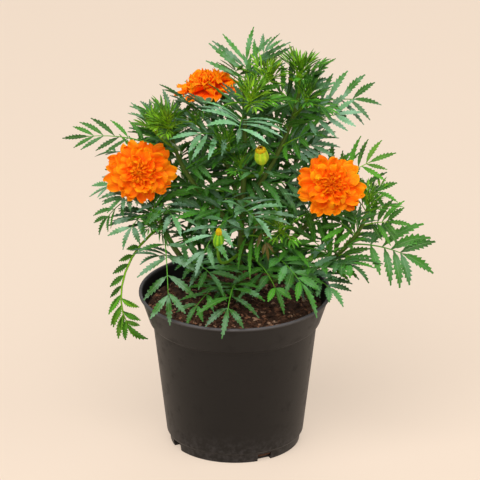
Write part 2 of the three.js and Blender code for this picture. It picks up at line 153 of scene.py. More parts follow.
DUST_AND_LIP_HIGHLIGHT = (0.105, 0.10, 0.105)
PAINTED_BARK_HIGHLIGHT = (0.52, 0.34, 0.22)
NEWEST_LEAF = (0.42, 0.46, 0.020)
LEAF_VEIN = (0.30, 0.42, 0.20)
PAINTED_LEAF_SHEEN = (0.34, 0.58, 0.42)
DRY_LEAF = (0.105, 0.082, 0.012)
OLD_STALK = (0.075, 0.040, 0.018)
BUD_HOLLOW = (0.12, 0.015, 0.006)
PETAL_GLOW = 0.05
BACKLIGHT = 0.75
FULL_LIGHT = 1.2


def arithmetic(operation, swapped=False):
    """A method that adds a Math node."""

    def apply(self, other=0.0):
        first, second = (other, self) if swapped else (self, other)
        return self.shader.math(operation, first, second)

    return apply


class Value:
    """A number or colour that changes over a surface. Arithmetic on it adds Math nodes."""

    __add__ = __radd__ = arithmetic("ADD")
    __sub__ = arithmetic("SUBTRACT")
    __rsub__ = arithmetic("SUBTRACT", swapped=True)
    __mul__ = arithmetic("MULTIPLY")
    sine = arithmetic("SINE")
    size = arithmetic("ABSOLUTE")

    def __init__(self, shader, socket):
        self.shader = shader
        self.socket = socket

    def ramp(self, low, high):
        """0 up to low, 1 from high on, and smooth between; high may be the lower of the two."""
        settings = {"interpolation_type": "SMOOTHSTEP"}
        values = {"Value": self, "From Min": low, "From Max": high}
        return self.shader.node("ShaderNodeMapRange", "Result", settings, values)


class Shader:
    """One material: a principled surface and the nodes that feed it."""

    def __init__(self, name, constants):
        self.material = bpy.data.materials.new(name)
        self.material.use_nodes = True
        self.tree = self.material.node_tree
        self.surface = self.tree.nodes["Principled BSDF"]
        for socket, value in constants.items():
            self.surface.inputs[socket].default_value = value

    def node(self, kind, output, settings=None, values=None):
        """Adds a node and gives one of its outputs. Sockets go by name or by number."""
        made = self.tree.nodes.new(kind)
        for name, setting in (settings or {}).items():
            setattr(made, name, setting)
        for name, value in (values or {}).items():
            self.feed(made.inputs[name], value)
        return Value(self, made.outputs[output])

    def feed(self, socket, value):
        if isinstance(value, Value):
            self.tree.links.new(value.socket, socket)
        elif hasattr(value, "__len__"):
            socket.default_value = (*value, 1.0)
        else:
            socket.default_value = value

    def math(self, operation, first, second):
        return self.node("ShaderNodeMath", 0, {"operation": operation}, {0: first, 1: second})

    def mix(self, share, first, second):
        """A colour between two, by a share from 0 to 1."""
        values = {0: share, 6: first, 7: second}
        return self.node("ShaderNodeMix", 2, {"data_type": "RGBA"}, values)

    def scale(self, colour, share):
        values = {"Vector": colour, "Scale": share}
        return self.node("ShaderNodeVectorMath", "Vector", {"operation": "SCALE"}, values)

    def gradient(self, share, stops):
        """A colour by a share from 0 to 1, from stops of a share and a colour each."""
        made = self.node("ShaderNodeValToRGB", "Color", None, {"Fac": share})
        elements = made.socket.node.color_ramp.elements
        while len(elements) < len(stops):
            elements.new(1.0)
        for element, (position, colour) in zip(elements, stops):
            element.position = position
            element.color = (*colour, 1.0)
        return made

    def place(self):
        return self.node("ShaderNodeTexCoord", "Object")

    def part(self, vector, axis):
        return self.node("ShaderNodeSeparateXYZ", axis, None, {"Vector": vector})

    def mark(self, name):
        """A number that the mesh carries at its points."""
        return self.node("ShaderNodeAttribute", "Fac", {"attribute_name": name})

    def blade(self):
        """How far along a leaflet or petal a point lies, and how far across."""
        place = self.node("ShaderNodeUVMap", "UV", {"uv_map": "blade"})
        return self.part(place, "X"), self.part(place, "Y")

    def noise(self, scale, detail, rough):
        values = {"Vector": self.place(), "Scale": scale, "Detail": detail, "Roughness": rough}
        return self.node("ShaderNodeTexNoise", "Fac", None, values)

    def finish(self, colour, roughness):
        self.feed(self.surface.inputs["Base Color"], colour)
        self.feed(self.surface.inputs["Roughness"], roughness)
        return self.material

    def bump(self, height, distance, strength):
        values = {"Height": height, "Distance": distance, "Strength": strength}
        normal = self.node("ShaderNodeBump", "Normal", None, values)
        self.feed(self.surface.inputs["Normal"], normal)


def scaled(colour, share):
    return tuple(part * share for part in colour)


def pot_plastic(pot):
    """Recycled plastic: near black, faintly mottled, scuffed and dusty towards its foot, with a pale
    band of painted highlight along the top of its lip.
    """
    shader = Shader("pot_plastic", {"Specular IOR Level": 0.31, "IOR": 1.48})
    mottle = shader.noise(22, 4, 0.6).ramp(0.35, 0.7)
    height = shader.part(shader.place(), "Z")
    foot = height.ramp(30 * MM, 0.0)
    lip = height.ramp(POT_HIGH.z - 2.4 * MM, POT_HIGH.z - 0.8 * MM)
    # Patchy dust towards the foot. On the lip, a pale band of painted highlight in the same pale
    # grey.
    dust_and_lip_highlight = foot * 0.35 * shader.noise(260, 3, 0.6).ramp(0.35, 0.75) + lip * 0.7
    tint = shader.mix(mottle * 0.5, pot.plastic, scaled(pot.plastic, 1.5))
    scuff = shader.noise(90, 5, 0.65).ramp(0.52, 0.72)
    grain = shader.noise(1400, 2, 0.5) * 0.3 + shader.noise(60, 2, 0.5)
    shader.bump(grain, 0.4 * MM, 0.25)
    roughness = 0.47 + scuff * 0.12 + dust_and_lip_highlight * 0.2 - lip * 0.08
    return shader.finish(shader.mix(dust_and_lip_highlight, tint, DUST_AND_LIP_HIGHLIGHT), roughness)


def soil_mix(soil):
    """Bark and peat: each chip a brown of its own, lit and shaded copies of the bark's colour drawn
    at random, so its own tone and painted light and shade together; the palest few are painted
    highlight, and painted shade darkens the dips of the fine bump.
    """
    shader = Shader("soil_mix", {"Specular IOR Level": 0.25})
    tint = shader.mark("tint")
    speck = shader.noise(900, 4, 0.7)
    # Each chip's tint picks one of these lit and shaded copies of the bark's brown. The chips'
    # browns are partly their own tone and partly painted light and shade. The last stop is a painted
    # highlight.
    shades = ((0.0, 0.10), (0.3, 0.35), (0.6, 0.95), (0.85, 1.8))
    stops = [(share, scaled(soil.bark, light)) for share, light in shades]
    brown = shader.gradient(tint, [*stops, (1.0, PAINTED_BARK_HIGHLIGHT)])
    shader.bump(speck, 0.6 * MM, 0.8)
    # Painted shade: darker where the fine bump dips.
    painted_dip_shade = scaled(soil.bark, 0.06)
    return shader.finish(shader.mix(speck.ramp(0.62, 0.3) * 0.7, brown, painted_dip_shade), 0.95 - tint * 0.15)


def foliage(leaves):
    """Leaves and stems: by age from yellow-green to a dull green, with pale veins, ribbed green
    stems that brown lower down, and a few dry leaves. Towards an age of 0.9 the leaves turn a pale
    bluish green and take patches of a paler sheen, both painted highlight."""
    shader = Shader("foliage", {"Specular IOR Level": 0.32, "IOR": 1.45})
    along, across = shader.blade()
    age = shader.mark("age")
    stalk = shader.mark("stalk")
    # Painted highlight: leaves given ages near 0.9 end in the pale bluish colour. Those near 0.82
    # end in a darker green.
    green = shader.gradient(age, [
        (0.0, NEWEST_LEAF),
        (0.12, leaves.young),
        (0.40, leaves.fresh),
        (0.72, leaves.grown),
        (0.82, scaled(leaves.grown, 0.9)),
        (0.90, leaves.pale),
    ])
    blotch = shader.noise(130, 3, 0.6)
    fine = shader.noise(520, 2, 0.6)
    light = 1.06 + shader.mark("tone") * 0.6 + (blotch - 0.5) * 0.8 + (fine - 0.5) * 0.7
    middle = (across - 0.5).size()
    rib = middle.ramp(0.07, 0.015)
    slant = along * 34.0 - middle * 30.0
    veins = slant.sine().ramp(0.75, 1.0) * middle.ramp(0.5, 0.3)
    pale = shader.mix(0.5, green, LEAF_VEIN)
    veined = shader.mix(rib * 0.55 + veins * 0.22, shader.scale(green, light), pale)
    # Painted sheen: noisy patches of a pale bluish green on the older leaves stand in for the
    # light's reflection on them.
    painted_sheen = shader.noise(75, 3, 0.6).ramp(0.38, 0.62) * age.ramp(0.6, 0.9)
    painted_sheen_blade = shader.mix(painted_sheen * 0.45, veined, PAINTED_LEAF_SHEEN)
    blade = shader.mix(age.ramp(1.0, 1.1), painted_sheen_blade, DRY_LEAF)
    streak = shader.noise(210, 3, 0.6).ramp(0.4, 0.7)
    old = shader.part(shader.place(), "Z").ramp(200 * MM, 120 * MM)
    fresh_stalk = shader.mix(streak * 0.4, leaves.stalk, scaled(leaves.stalk, 0.55))
    whole_stalk = shader.mix(old * streak * 0.65, fresh_stalk, OLD_STALK)
    shader.bump(rib * 0.5 + veins * 0.6 + blotch * 0.4 + fine * 0.3, 0.4 * MM, 0.7)
    roughness = 0.58 - age * 0.16 + (blotch - 0.5) * 0.25 - stalk * 0.05
    return shader.finish(shader.mix(stalk, blade, whole_stalk), roughness)


def petals(name, tip, throat, spot, glow):
    """Velvet petals: deep at the root, bright to the edge, finely streaked along their length.
    Light passes through them from petal to petal, and the glow stands for its last bounces."""
    shader = Shader(name, {
        "Subsurface Weight": 0.3,
        "Subsurface Radius": (1.0, 0.22, 0.04),
        "Subsurface Scale": 2.5 * MM,
        "Specular IOR Level": 0.12,
        "Sheen Weight": 0.06,
        "Sheen Roughness": 0.4,
        "Sheen Tint": (1.0, 0.5, 0.1, 1.0),
        "Emission Color": (1.0, 0.10, 0.0, 1.0),
        "Emission Strength": glow,
    })
    along, across = shader.blade()
    streaks = (across * 75.0 + shader.noise(90, 2, 0.5) * 7.0).sine()
    warm = along.ramp(0.1, 0.8) * (1.0 - shader.mark("deep") * 0.75)
    streaked = shader.mix(streaks.ramp(0.2, 1.0) * 0.22, shader.mix(warm, throat, tip), throat)
    edge = (across - 0.5).size().ramp(0.38, 0.5) * 0.45 + along.ramp(0.84, 1.0) * 0.55
    red, green, blue = tip
    edged = shader.mix(edge * warm, streaked, (red, between(green, 0.62, 0.33), blue))
    spotted = shader.mix(shader.mark("spot") * along.ramp(0.72, 0.9), edged, spot)
    blotch = shader.noise(160, 3, 0.6)
    shader.bump(streaks + blotch, 0.12 * MM, 0.5)
    mottled = shader.mix(blotch.ramp(0.5, 0.8) * 0.25, spotted, throat)
    return shader.finish(mottled, 0.62 + blotch * 0.15)


def floor_paper(stage):
    """Pale studio paper with the least of cloudiness, which gives off most of its light itself."""
    shader = Shader("floor_paper", {
        "Specular IOR Level": 0.1,
        "Emission Color": (*stage.floor, 1.0),
        "Emission Strength": BACKLIGHT * stage.light,
    })
    cloud = shader.noise(0.7, 2, 0.5)
    front = scaled(stage.floor, 1 - BACKLIGHT / FULL_LIGHT)
    return shader.finish(shader.mix(cloud, scaled(front, 0.985), front), 0.9 + cloud * 0.05)


# ---- Meshes ----

MODULUS = 2**31 - 1
CORNER_STEPS = 3


def draws(seed):
    """A seeded draw between two values, so that the plant grows the same way every time."""
    state = seed

    def draw(low, high):
        nonlocal state
        state = (state * 16807) % MODULUS
        return low + (high - low) * state / MODULUS

    return draw


def between(first, last, share):
    return first + (last - first) * share


def at(values):
    """A place, or a profile's point, given in millimetres."""
    return Vector(values) * MM


def stood(place, axis, scale=1):
    """The matrix that stands what points up at a place, along an axis."""
    turn = UP.rotation_difference(axis).to_matrix().to_4x4()
    return Matrix.Translation(place) @ turn @ Matrix.Diagonal((scale, scale, scale, 1))


def to_mesh(name, bm):
    mesh = bpy.data.meshes.new(name)
    bm.to_mesh(mesh)
    bm.free()
    return mesh


def to_object(name, data):
    """Puts a mesh, a light or a camera into the scene, in place."""
    made = bpy.data.objects.new(name, data)
    bpy.context.scene.collection.objects.link(made)
    return made


def finish(name, bm, material, slot, *nodes):
    """Makes a piece from its mesh and lets it stand for its nodes."""
    piece = to_object(name, to_mesh(name, bm))
    piece.data.materials.append(material)
    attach(piece, "root")
    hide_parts(*nodes)
    return piece


def plant_mesh():
    """An empty mesh with the marks that leaves, stems and petals carry."""
    bm = bmesh.new()
    for mark in ("age", "tone", "stalk", "deep", "spot"):
        bm.verts.layers.float.new(mark)
    bm.loops.layers.uv.new("blade")
    return bm


def add_shape(bm, shape, rule, **marks):
    """Adds a copy of a template, moves its points by a rule and writes its marks on them. A mark
    is a number, or a function of the template's point."""
    first = len(bm.verts)
    bm.from_mesh(shape)
    bm.verts.ensure_lookup_table()
    layers = [(bm.verts.layers.float[name], value) for name, value in marks.items()]
    for i in range(first, len(bm.verts)):
        vert = bm.verts[i]
        for layer, value in layers:
            vert[layer] = value(vert.co) if callable(value) else value
        vert.co = rule(vert.co)


def smooth(bm):
    for face in bm.faces:
        face.smooth = True


def turned(profile, steps):
    """A profile of (radius, height) points, from axis to axis, turned about +Z into a new mesh."""
    bm = bmesh.new()
    ring = [bm.verts.new((radius, 0, height)) for radius, height in profile]
    edges = [bm.edges.new(pair) for pair in zip(ring, ring[1:])]
    about = {"cent": (0, 0, 0), "axis": (0, 0, 1), "angle": 2 * math.pi}
    bmesh.ops.spin(bm, geom=ring + edges, steps=steps, use_merge=True, **about)
    bmesh.ops.remove_doubles(bm, verts=bm.verts[:], dist=1e-6)
    bmesh.ops.recalc_face_normals(bm, faces=bm.faces[:])
    smooth(bm)
    return bm


def rounded(profile, radius):
    """The profile with each inner corner turned into a small curve."""
    points = [Vector(profile[0])]
    for before, corner, after in zip(profile, profile[1:], profile[2:]):
        middle = Vector(corner)
        back = Vector(before) - middle
        on = Vector(after) - middle
        start = middle + back.normalized() * min(radius, back.length * 0.45)
        end = middle + on.normalized() * min(radius, on.length * 0.45)
        for i in range(CORNER_STEPS + 1):
            share = i / CORNER_STEPS
            first = start.lerp(middle, share)
            points.append(first.lerp(middle.lerp(end, share), share))
    points.append(Vector(profile[-1]))
    return points


# ---- Pot ----

BAND_TOP = 73.5
BAND_FOOT = 66.8
BAND_FOOT_HEIGHT = 102.0
WALL_TOP = 64.0
WALL_TOP_HEIGHT = 99.6
WALL_FOOT = 53.3
WALL_FOOT_HEIGHT = 8.8
BASE = 50.4
BASE_STEP = 51.4
BASE_STEP_HEIGHT = 7.2
FLOOR = 2.2
NOTCH = Vector((20.0, 11.5, 12.0))
NOTCH_MIDDLE = 56.0
NOTCH_FIRST_TURN = -63.0
NOTCHES = 4
POT_STEPS = 128
SHARP_EDGE = math.radians(35)


def pot_profile(pot):
    """The wall's section, from the middle of the underside over the lip to the middle inside."""
    wall = pot.wall / MM
    lip = pot.lip_radius / MM
    top = pot.height / MM
    section = [
        (0, 0),
        (BASE, 0),
        (BASE_STEP, BASE_STEP_HEIGHT),
        (WALL_FOOT, WALL_FOOT_HEIGHT),
        (WALL_TOP, WALL_TOP_HEIGHT),
        (BAND_FOOT, BAND_FOOT_HEIGHT),
        (BAND_TOP, top - 2.5),
        (lip, top - 1.9),
        (lip, top - 0.2),
        (lip - 1.0, top),
        (BAND_TOP - wall + 0.6, top),
        (BAND_FOOT - wall, BAND_FOOT_HEIGHT - 0.6),
        (WALL_TOP - wall, WALL_TOP_HEIGHT - 0.8),
        (WALL_FOOT - wall, WALL_FOOT_HEIGHT + 0.4),
        (BASE - wall, FLOOR),
        (0, FLOOR),
    ]
    return [point * MM for point in rounded(section, 0.7)]


def cut_notches(piece):
    """Cuts the drainage notches out of the foot of the wall."""
    bm = bmesh.new()
    for i in range(NOTCHES):
        turn = math.radians(NOTCH_FIRST_TURN + 360 * i / NOTCHES)
        place = Matrix.Rotation(turn, 4, "Z") @ Matrix.Translation((NOTCH_MIDDLE * MM, 0, 0))
        bmesh.ops.create_cube(bm, size=MM, matrix=place @ Matrix.Diagonal((*NOTCH, 1)))
    cutter = to_object("notches", to_mesh("notches", bm))
    cut = piece.modifiers.new("notches", "BOOLEAN")
    cut.operation = "DIFFERENCE"
    cut.solver = "EXACT"
    cut.object = cutter
    graph = bpy.context.evaluated_depsgraph_get()
    whole = bpy.data.meshes.new_from_object(piece.evaluated_get(graph))
    piece.modifiers.remove(cut)
    plain = piece.data
    piece.data = whole
    whole.name = plain.name
    bpy.data.meshes.remove(plain)
    bpy.data.objects.remove(cutter)


class MARIGOLD_OT_pot(bpy.types.Operator):
    """Turn the nursery pot and cut its drainage notches"""

    bl_idname = "marigold.pot"
    bl_label = "Nursery Pot"

    def execute(self, context):
        pot = context.scene.marigold_pot
        bm = turned(pot_profile(pot), POT_STEPS)
        for edge in bm.edges:
            edge.smooth = edge.calc_face_angle(0) < SHARP_EDGE
        cut_notches(finish("nursery_pot", bm, pot_plastic(pot), "pot", "pot"))
        return {"FINISHED"}


# ---- Soil ----

SOIL_EDGE = 68.2
SOIL_EDGE_HEIGHT = 111.5
SOIL_CROWN = 4.2
SOIL_WAVES = ((0.19, 0.44, 0.55), (0.43, -0.1, 0.55), (0.53, -0.61, 0.77))
SOIL_FOOT = 3.0
SOIL_SIDE = [(0, SOIL_FOOT), (48.4, SOIL_FOOT), (51.2, 9.8), (62.0, 99.0), (64.8, 102.0)]
SOIL_STEPS = 72
SOIL_RINGS = 24
SOIL_SEED = 101
CHIP_MARGIN = 1.6
CHIP_TURN = math.radians(137.508)
SMALLEST_CHIP = 0.8 * MM


def soil_height(x, y):
    """The height of the soil's top at a place, all in millimetres."""
    share = min(math.hypot(x, y) / SOIL_EDGE, 1.0)
    waves = sum(height * math.sin(fx * x + fy * y) for fx, fy, height in SOIL_WAVES)
    return SOIL_EDGE_HEIGHT + SOIL_CROWN * (1 - share * share) + waves * min(1, 8 * (1 - share))


def soil_bed(draw):
    """The soil under the chips, as deep as the pot."""
    top = [(SOIL_EDGE * (1 - i / SOIL_RINGS), SOIL_EDGE_HEIGHT) for i in range(SOIL_RINGS + 1)]
    bm = turned([at(point) for point in SOIL_SIDE + top], SOIL_STEPS)
    tint = bm.verts.layers.float.new("tint")
    for vert in bm.verts:
        x, y, z = vert.co / MM
        vert[tint] = draw(0.05, 0.5)
        if z > SOIL_EDGE_HEIGHT - 0.1:
            vert.co.z = (soil_height(x, y) + draw(-0.9, 0.5)) * MM
    return bm


def chip(bm, place, size, draw):
    """One piece of bark or peat: a lump drawn long and flat and turned at random."""
    turn = Matrix.Rotation(draw(0, 2 * math.pi), 4, "Z") @ Matrix.Rotation(draw(-0.5, 0.5), 4, "X")
    stretch = Matrix.Diagonal((size, size * draw(0.35, 0.7), size * draw(0.18, 0.4), 1))
    matrix = Matrix.Translation(place) @ turn @ stretch
    made = bmesh.ops.create_icosphere(bm, subdivisions=1, radius=0.5, matrix=matrix)
    tint = bm.verts.layers.float["tint"]
    shade = draw(0.1, 1.0) ** 1.3
    for vert in made["verts"]:
        vert.co += Vector((draw(-1, 1), draw(-1, 1), draw(-1, 1))) * size * 0.11
        vert[tint] = shade


class MARIGOLD_OT_soil(bpy.types.Operator):
    """Fill the pot with potting mix and strew bark and peat over it"""

    bl_idname = "marigold.soil"
    bl_label = "Soil"

    def execute(self, context):
        soil = context.scene.marigold_soil
        draw = draws(SOIL_SEED)
        bm = soil_bed(draw)
        for i in range(soil.chips):
            out = (SOIL_EDGE - CHIP_MARGIN) * math.sqrt((i + 0.5) / soil.chips)
            turn = CHIP_TURN * i + draw(-0.3, 0.3)
            x, y = out * math.cos(turn), out * math.sin(turn)
            size = soil.chip_size * draw(0.25, 1.0) ** 1.6 + SMALLEST_CHIP
            place = at((x, y, soil_height(x, y) + draw(-0.3, 0.7)))
            chip(bm, place, size, draw)
        finish("potting_soil", bm, soil_mix(soil), "soil", "soil")
        return {"FINISHED"}


# ---- Templates for leaflets, ribs and petals ----

LEAFLET_THICKNESS = 0.09
LEAFLET_FOLD = 0.38
LEAFLET_FOOT = 0.14
FIRST_TOOTH = 0.08
TOOTH_GROWTH = 0.25
TOOTH_LEAN = 0.05


def closed_blade(bm, thick):
    """Gives a flat sheet an underside that meets it along its border, and marks the border sharp."""
    top = bm.verts[:]
    border = {vert for edge in bm.edges if edge.is_boundary for vert in edge.verts}
    copy = bmesh.ops.duplicate(bm, geom=top + bm.edges[:] + bm.faces[:])
    under = [item for item in copy["geom"] if isinstance(item, bmesh.types.BMFace)]
    bmesh.ops.reverse_faces(bm, faces=under)
    lowered = [copy["vert_map"][vert] for vert in top if vert not in border]
    bmesh.ops.translate(bm, verts=lowered, vec=(0, 0, -thick))
    bmesh.ops.remove_doubles(bm, verts=bm.verts[:], dist=1e-6)
    smooth(bm)
    for edge in bm.edges:
        sides = {face.normal.z > 0 for face in edge.link_faces}
        edge.smooth = len(sides) == 1


def sheet(columns, rows):
    """A unit sheet, 0 to 1 along X and -1 to 1 across Y, with its place written in its UV map."""
    bm = bmesh.new()
    bmesh.ops.create_grid(bm, x_segments=columns, y_segments=rows, size=1.0)
    bmesh.ops.scale(bm, vec=(0.5, 1, 1), verts=bm.verts)
    bmesh.ops.translate(bm, vec=(0.5, 0, 0), verts=bm.verts)
    uv = bm.loops.layers.uv.new("blade")
    for face in bm.faces:
        for loop in face.loops:
            loop[uv].uv = (loop.vert.co.x, loop.vert.co.y / 2 + 0.5)
    return bm


def leaflet_shape(name, teeth, depth):
    """A leaflet one long and one wide, with its root at the origin and its tip on +X: widest
    before its middle, toothed on both edges and folded along its middle vein."""
    bm = sheet(2 * teeth, 2)
    for vert in bm.verts:
        along, side = vert.co.x, vert.co.y
        tooth = round(2 * teeth * along) % 2
        wide = math.sin(math.pi * along**0.92) ** 0.95 if 0.001 < along < 0.999 else 0
        bite = depth * min(1, max(0, along - FIRST_TOOTH) / TOOTH_GROWTH)
        half = 0.5 * (wide * (1 - bite + 2 * bite * tooth) + LEAFLET_FOOT * (1 - along) ** 4)
        ahead = TOOTH_LEAN * tooth * abs(side) * (depth > 0) * (along < 0.99)
        vert.co = Vector((along + ahead, side * half, LEAFLET_FOLD * abs(side) * half))
    bmesh.ops.remove_doubles(bm, verts=bm.verts[:], dist=1e-5)
    bm.normal_update()
    closed_blade(bm, LEAFLET_THICKNESS)
    return to_mesh(name, bm)


def rod_shape(name, sides, steps):
    """A rod one long on +X with a radius of one."""
    bm = bmesh.new()
    bm.loops.layers.uv.new("blade")
    turn = Matrix.Translation((0.5, 0, 0)) @ Matrix.Rotation(math.pi / 2, 4, "Y")
    size = {"segments": sides, "radius1": 1, "radius2": 1, "depth": 1}
    bmesh.ops.create_cone(bm, cap_ends=True, matrix=turn, **size)
    long = [edge for edge in bm.edges if abs(edge.verts[0].co.x - edge.verts[1].co.x) > 0.5]
    bmesh.ops.subdivide_edges(bm, edges=long, cuts=steps - 1)
    smooth(bm)
    return to_mesh(name, bm)


def petal_shape(name, columns, rows):
    bm = sheet(columns, rows)
    closed_blade(bm, 1.0)
    return to_mesh(name, bm)


# ---- Leaves ----

RIB_HALF_WIDTH = 0.9 * MM
FIRST_LEAFLET = 0.42
LAST_LEAFLET = 0.76
END_LEAFLET = 0.85
FIRST_LEAFLET_TURN = 70
LAST_LEAFLET_TURN = 46
LEAFLET_FULL_REACH = 24
RIB_TAPER = 0.55
RIB_OVERLAP = 1.04
LEAFLET_RISE = 0.22
LEAFLET_SAG = 0.005 / MM
SHORTEST_RIB = 0.4
TOOTHED_WIDTH = 3.0 * MM
GOLDEN_TURN = 137.5


@dataclass
class Leaf:
    """A leaf on a stem: where along it, the leaf's tip in millimetres, how far it droops and
    rolls in degrees, its pairs of leaflets, how far they reach in millimetres and how old they
    are, from 0 to 1 and dry beyond, where ages towards 0.9 also paint a pale highlight and sheen
    on them. Then shares of the usual width and spread, where on the rib the first leaflets stand,
    how long the end one is to the rest, how steeply they rise, the share of the usual rib, and the
    sides that they stand on."""

    base: object
    tip: tuple
    droop: float = 40
    roll: float = 0
    pairs: int = 4
    reach: float = 28
    age: float = 0.78
    wide: float = 1
    spread: float = 1
    first: float = FIRST_LEAFLET
    end: float = END_LEAFLET
    rise: float = LEAFLET_RISE
    rib: float = 1
    sides: tuple = (-1, 1)

    def grow(self, plant, bm, route, draw):
        plant.leaf(bm, replace(self, base=bezier(route, self.base)), draw)


class Arc:
    """The upright arc that a leaf's rib follows from its base to its tip."""

    def __init__(self, base, tip, droop, roll, rise):
        along = tip - base
        self.base = base
        self.heading = Vector((along.x, along.y, 0)).normalized()
        self.side = Vector((-self.heading.y, self.heading.x, 0))
        turn = math.radians(droop)
        self.radius = along.length / (2 * math.sin(turn / 2))
        self.length = self.radius * turn
        self.start = math.atan2(along.z, math.hypot(along.x, along.y)) + turn / 2
        self.lean = math.radians(roll)
        self.rise = rise

    def place(self, x, y, z):
        angle = self.start - x / self.radius
        forward = self.radius * (math.sin(self.start) - math.sin(angle))
        rise = self.radius * (math.cos(angle) - math.cos(self.start))
        normal = self.heading * -math.sin(angle) + UP * math.cos(angle)
        lift = z + self.rise * abs(y) - LEAFLET_SAG * y * y
        cosine, sine = math.cos(self.lean), math.sin(self.lean)
        return (
            self.base
            + self.heading * forward
            + UP * rise
            + self.side * (y * cosine - lift * sine)
            + normal * (lift * cosine + y * sine)
        )


class Plant:
    """Grows leafy stems from the templates."""

    def __init__(self, width):
        self.width = width
        self.toothed = leaflet_shape("toothed_leaflet", 8, 0.27)
        self.slim = leaflet_shape("slim_leaflet", 2, 0.0)
        self.rod = rod_shape("rib", 5, 8)
        self.petal = petal_shape("petal", 12, 14)

    def leaflet(self, bm, arc, root, angle, length, width, side, draw, marks):
        """One leaflet, which curves towards the leaf's tip. A side of 0 is the leaf's own tip."""
        shape = self.toothed if width > TOOTHED_WIDTH else self.slim
        bend = draw(0.06, 0.26) if side else draw(-0.2, 0.2) + 0.01
        twist = draw(-0.25, 0.25)
        hang = draw(0.5, 3.5)
        hold = side or 1
        offset = RIB_HALF_WIDTH * 0.4 * abs(side)

        def rule(point):
            turn = angle - bend * point.x
            across = point.y * width
            out = length * (math.cos(turn) - math.cos(angle)) / bend + across * math.cos(turn)
            x = root + length * (math.sin(angle) - math.sin(turn)) / bend - across * math.sin(turn)
            y = hold * (offset + out)
            reach = point.x * length
            z = point.z * width + twist * across - hang * reach * reach
            return arc.place(x, y, z)

        add_shape(bm, shape, rule, **marks)

    def leaf(self, bm, leaf, draw):
        """A feathered leaf: a thin rib, pairs of leaflets and one at its end."""
        arc = Arc(leaf.base, at(leaf.tip), leaf.droop, leaf.roll, leaf.rise)
        wide = self.width * min(1, leaf.reach / LEAFLET_FULL_REACH) * leaf.wide
        age = leaf.age + draw(-0.05, 0.05)
        last = min(LAST_LEAFLET * arc.length, arc.length - leaf.end * leaf.reach * MM)
        last = max(SHORTEST_RIB * arc.length, last)
        thick = (0.35 + 0.012 * leaf.reach) * leaf.rib * MM

        def rib(point):
            taper = thick * (1 - RIB_TAPER * point.x)
            return arc.place(point.x * last * RIB_OVERLAP, point.y * taper, point.z * taper)

        add_shape(bm, self.rod, rib, age=age * 0.6, tone=0.9, stalk=0.25)
        for i in range(leaf.pairs):
            share = i / (leaf.pairs - 1)
            root = last * between(leaf.first, 0.98, share)
            angle = leaf.spread * math.radians(between(FIRST_LEAFLET_TURN, LAST_LEAFLET_TURN, share))
            blade = leaf.reach * MM * (0.86 + 0.95 * share - share * share)
            for side in leaf.sides:
                length = blade * draw(0.86, 1.06)
                turn = angle + draw(-0.09, 0.09)
                start = root + draw(-1, 1) * 0.03 * arc.length
                width = wide * draw(0.85, 1.05)
                marks = {"age": age + draw(-0.05, 0.05), "tone": draw(-1, 1), "stalk": 0}
                self.leaflet(bm, arc, start, turn, length, width, side, draw, marks)
        marks = {"age": age, "tone": draw(-1, 1), "stalk": 0}
        self.leaflet(bm, arc, last, 0.001, arc.length - last, wide * 0.95, 0, draw, marks)

    def stem(self, bm, route, foot, tip, age, bark):
        """A ribbed stem along its curve, from the radius at its foot to that at its tip."""
        ring = bmesh.ops.create_circle(bm, segments=STEM_SIDES, radius=1)["verts"]
        for vert in ring[1::2]:
            vert.co *= 1 + RIBBING
        edges = list({edge for vert in ring for edge in vert.link_edges})
        bmesh.ops.contextual_create(bm, geom=edges)
        normal = slope(route, 0).orthogonal().normalized()
        made = list(ring)
        held = Matrix.Identity(4)
        for i in range(STEM_STEPS + 1):
            tangent = slope(route, i / STEM_STEPS)
            normal = (normal - tangent * normal.dot(tangent)).normalized()
            radius = between(foot, tip, i / STEM_STEPS) * MM
            axes = Matrix((normal, tangent.cross(normal), tangent)).transposed().to_4x4()
            size = Matrix.Diagonal((radius, radius, radius, 1))
            here = Matrix.Translation(bezier(route, i / STEM_STEPS)) @ axes @ size
            if i:
                grown = bmesh.ops.extrude_edge_only(bm, edges=edges)["geom"]
                ring = [item for item in grown if isinstance(item, bmesh.types.BMVert)]
                edges = [item for item in grown if isinstance(item, bmesh.types.BMEdge)]
                edges = [edge for edge in edges if all(vert in ring for vert in edge.verts)]
                made += ring
            bmesh.ops.transform(bm, verts=ring, matrix=here @ held.inverted())
            held = here
        bmesh.ops.contextual_create(bm, geom=edges)
        layers = bm.verts.layers.float
        for vert in made:
            vert[layers["age"]] = age
            vert[layers["stalk"]] = bark
        for face in {face for vert in made for face in vert.link_faces}:
            face.smooth = len(face.verts) == 4

    def pod(self, bm, start, axis, profile, ribs, stripe=0.0, **marks):
        """A cup or pod turned about an axis, with ribs down its sides and paler stripes on them."""
        shape = to_mesh("pod", turned([at(point) for point in rounded(profile, 1.2)], POD_STEPS))
        place = stood(start, axis)

        def wave(point):
            return math.cos(ribs * math.atan2(point.y, point.x))

        def rule(point):
            swell = 1 + 0.05 * wave(point)
            return place @ Vector((point.x * swell, point.y * swell, point.z))

        if stripe:
            fresh = marks["age"]
            marks["age"] = lambda point: fresh + stripe * (0.5 - 0.5 * wave(point))
        add_shape(bm, shape, rule, **marks)
        bpy.data.meshes.remove(shape)

    def ring(self, bm, place, ring, turn, ruffle, oval, draw):
        """A ring of petals, each curled out from the bloom's core by the ring's rule."""
        for i in range(ring.count):
            middle = turn + 2 * math.pi * i / ring.count + draw(-0.13, 0.13)
            stretch = 1 + oval * math.cos(2 * middle)
            self.one_petal(bm, place, ring, middle, stretch, ruffle, draw)

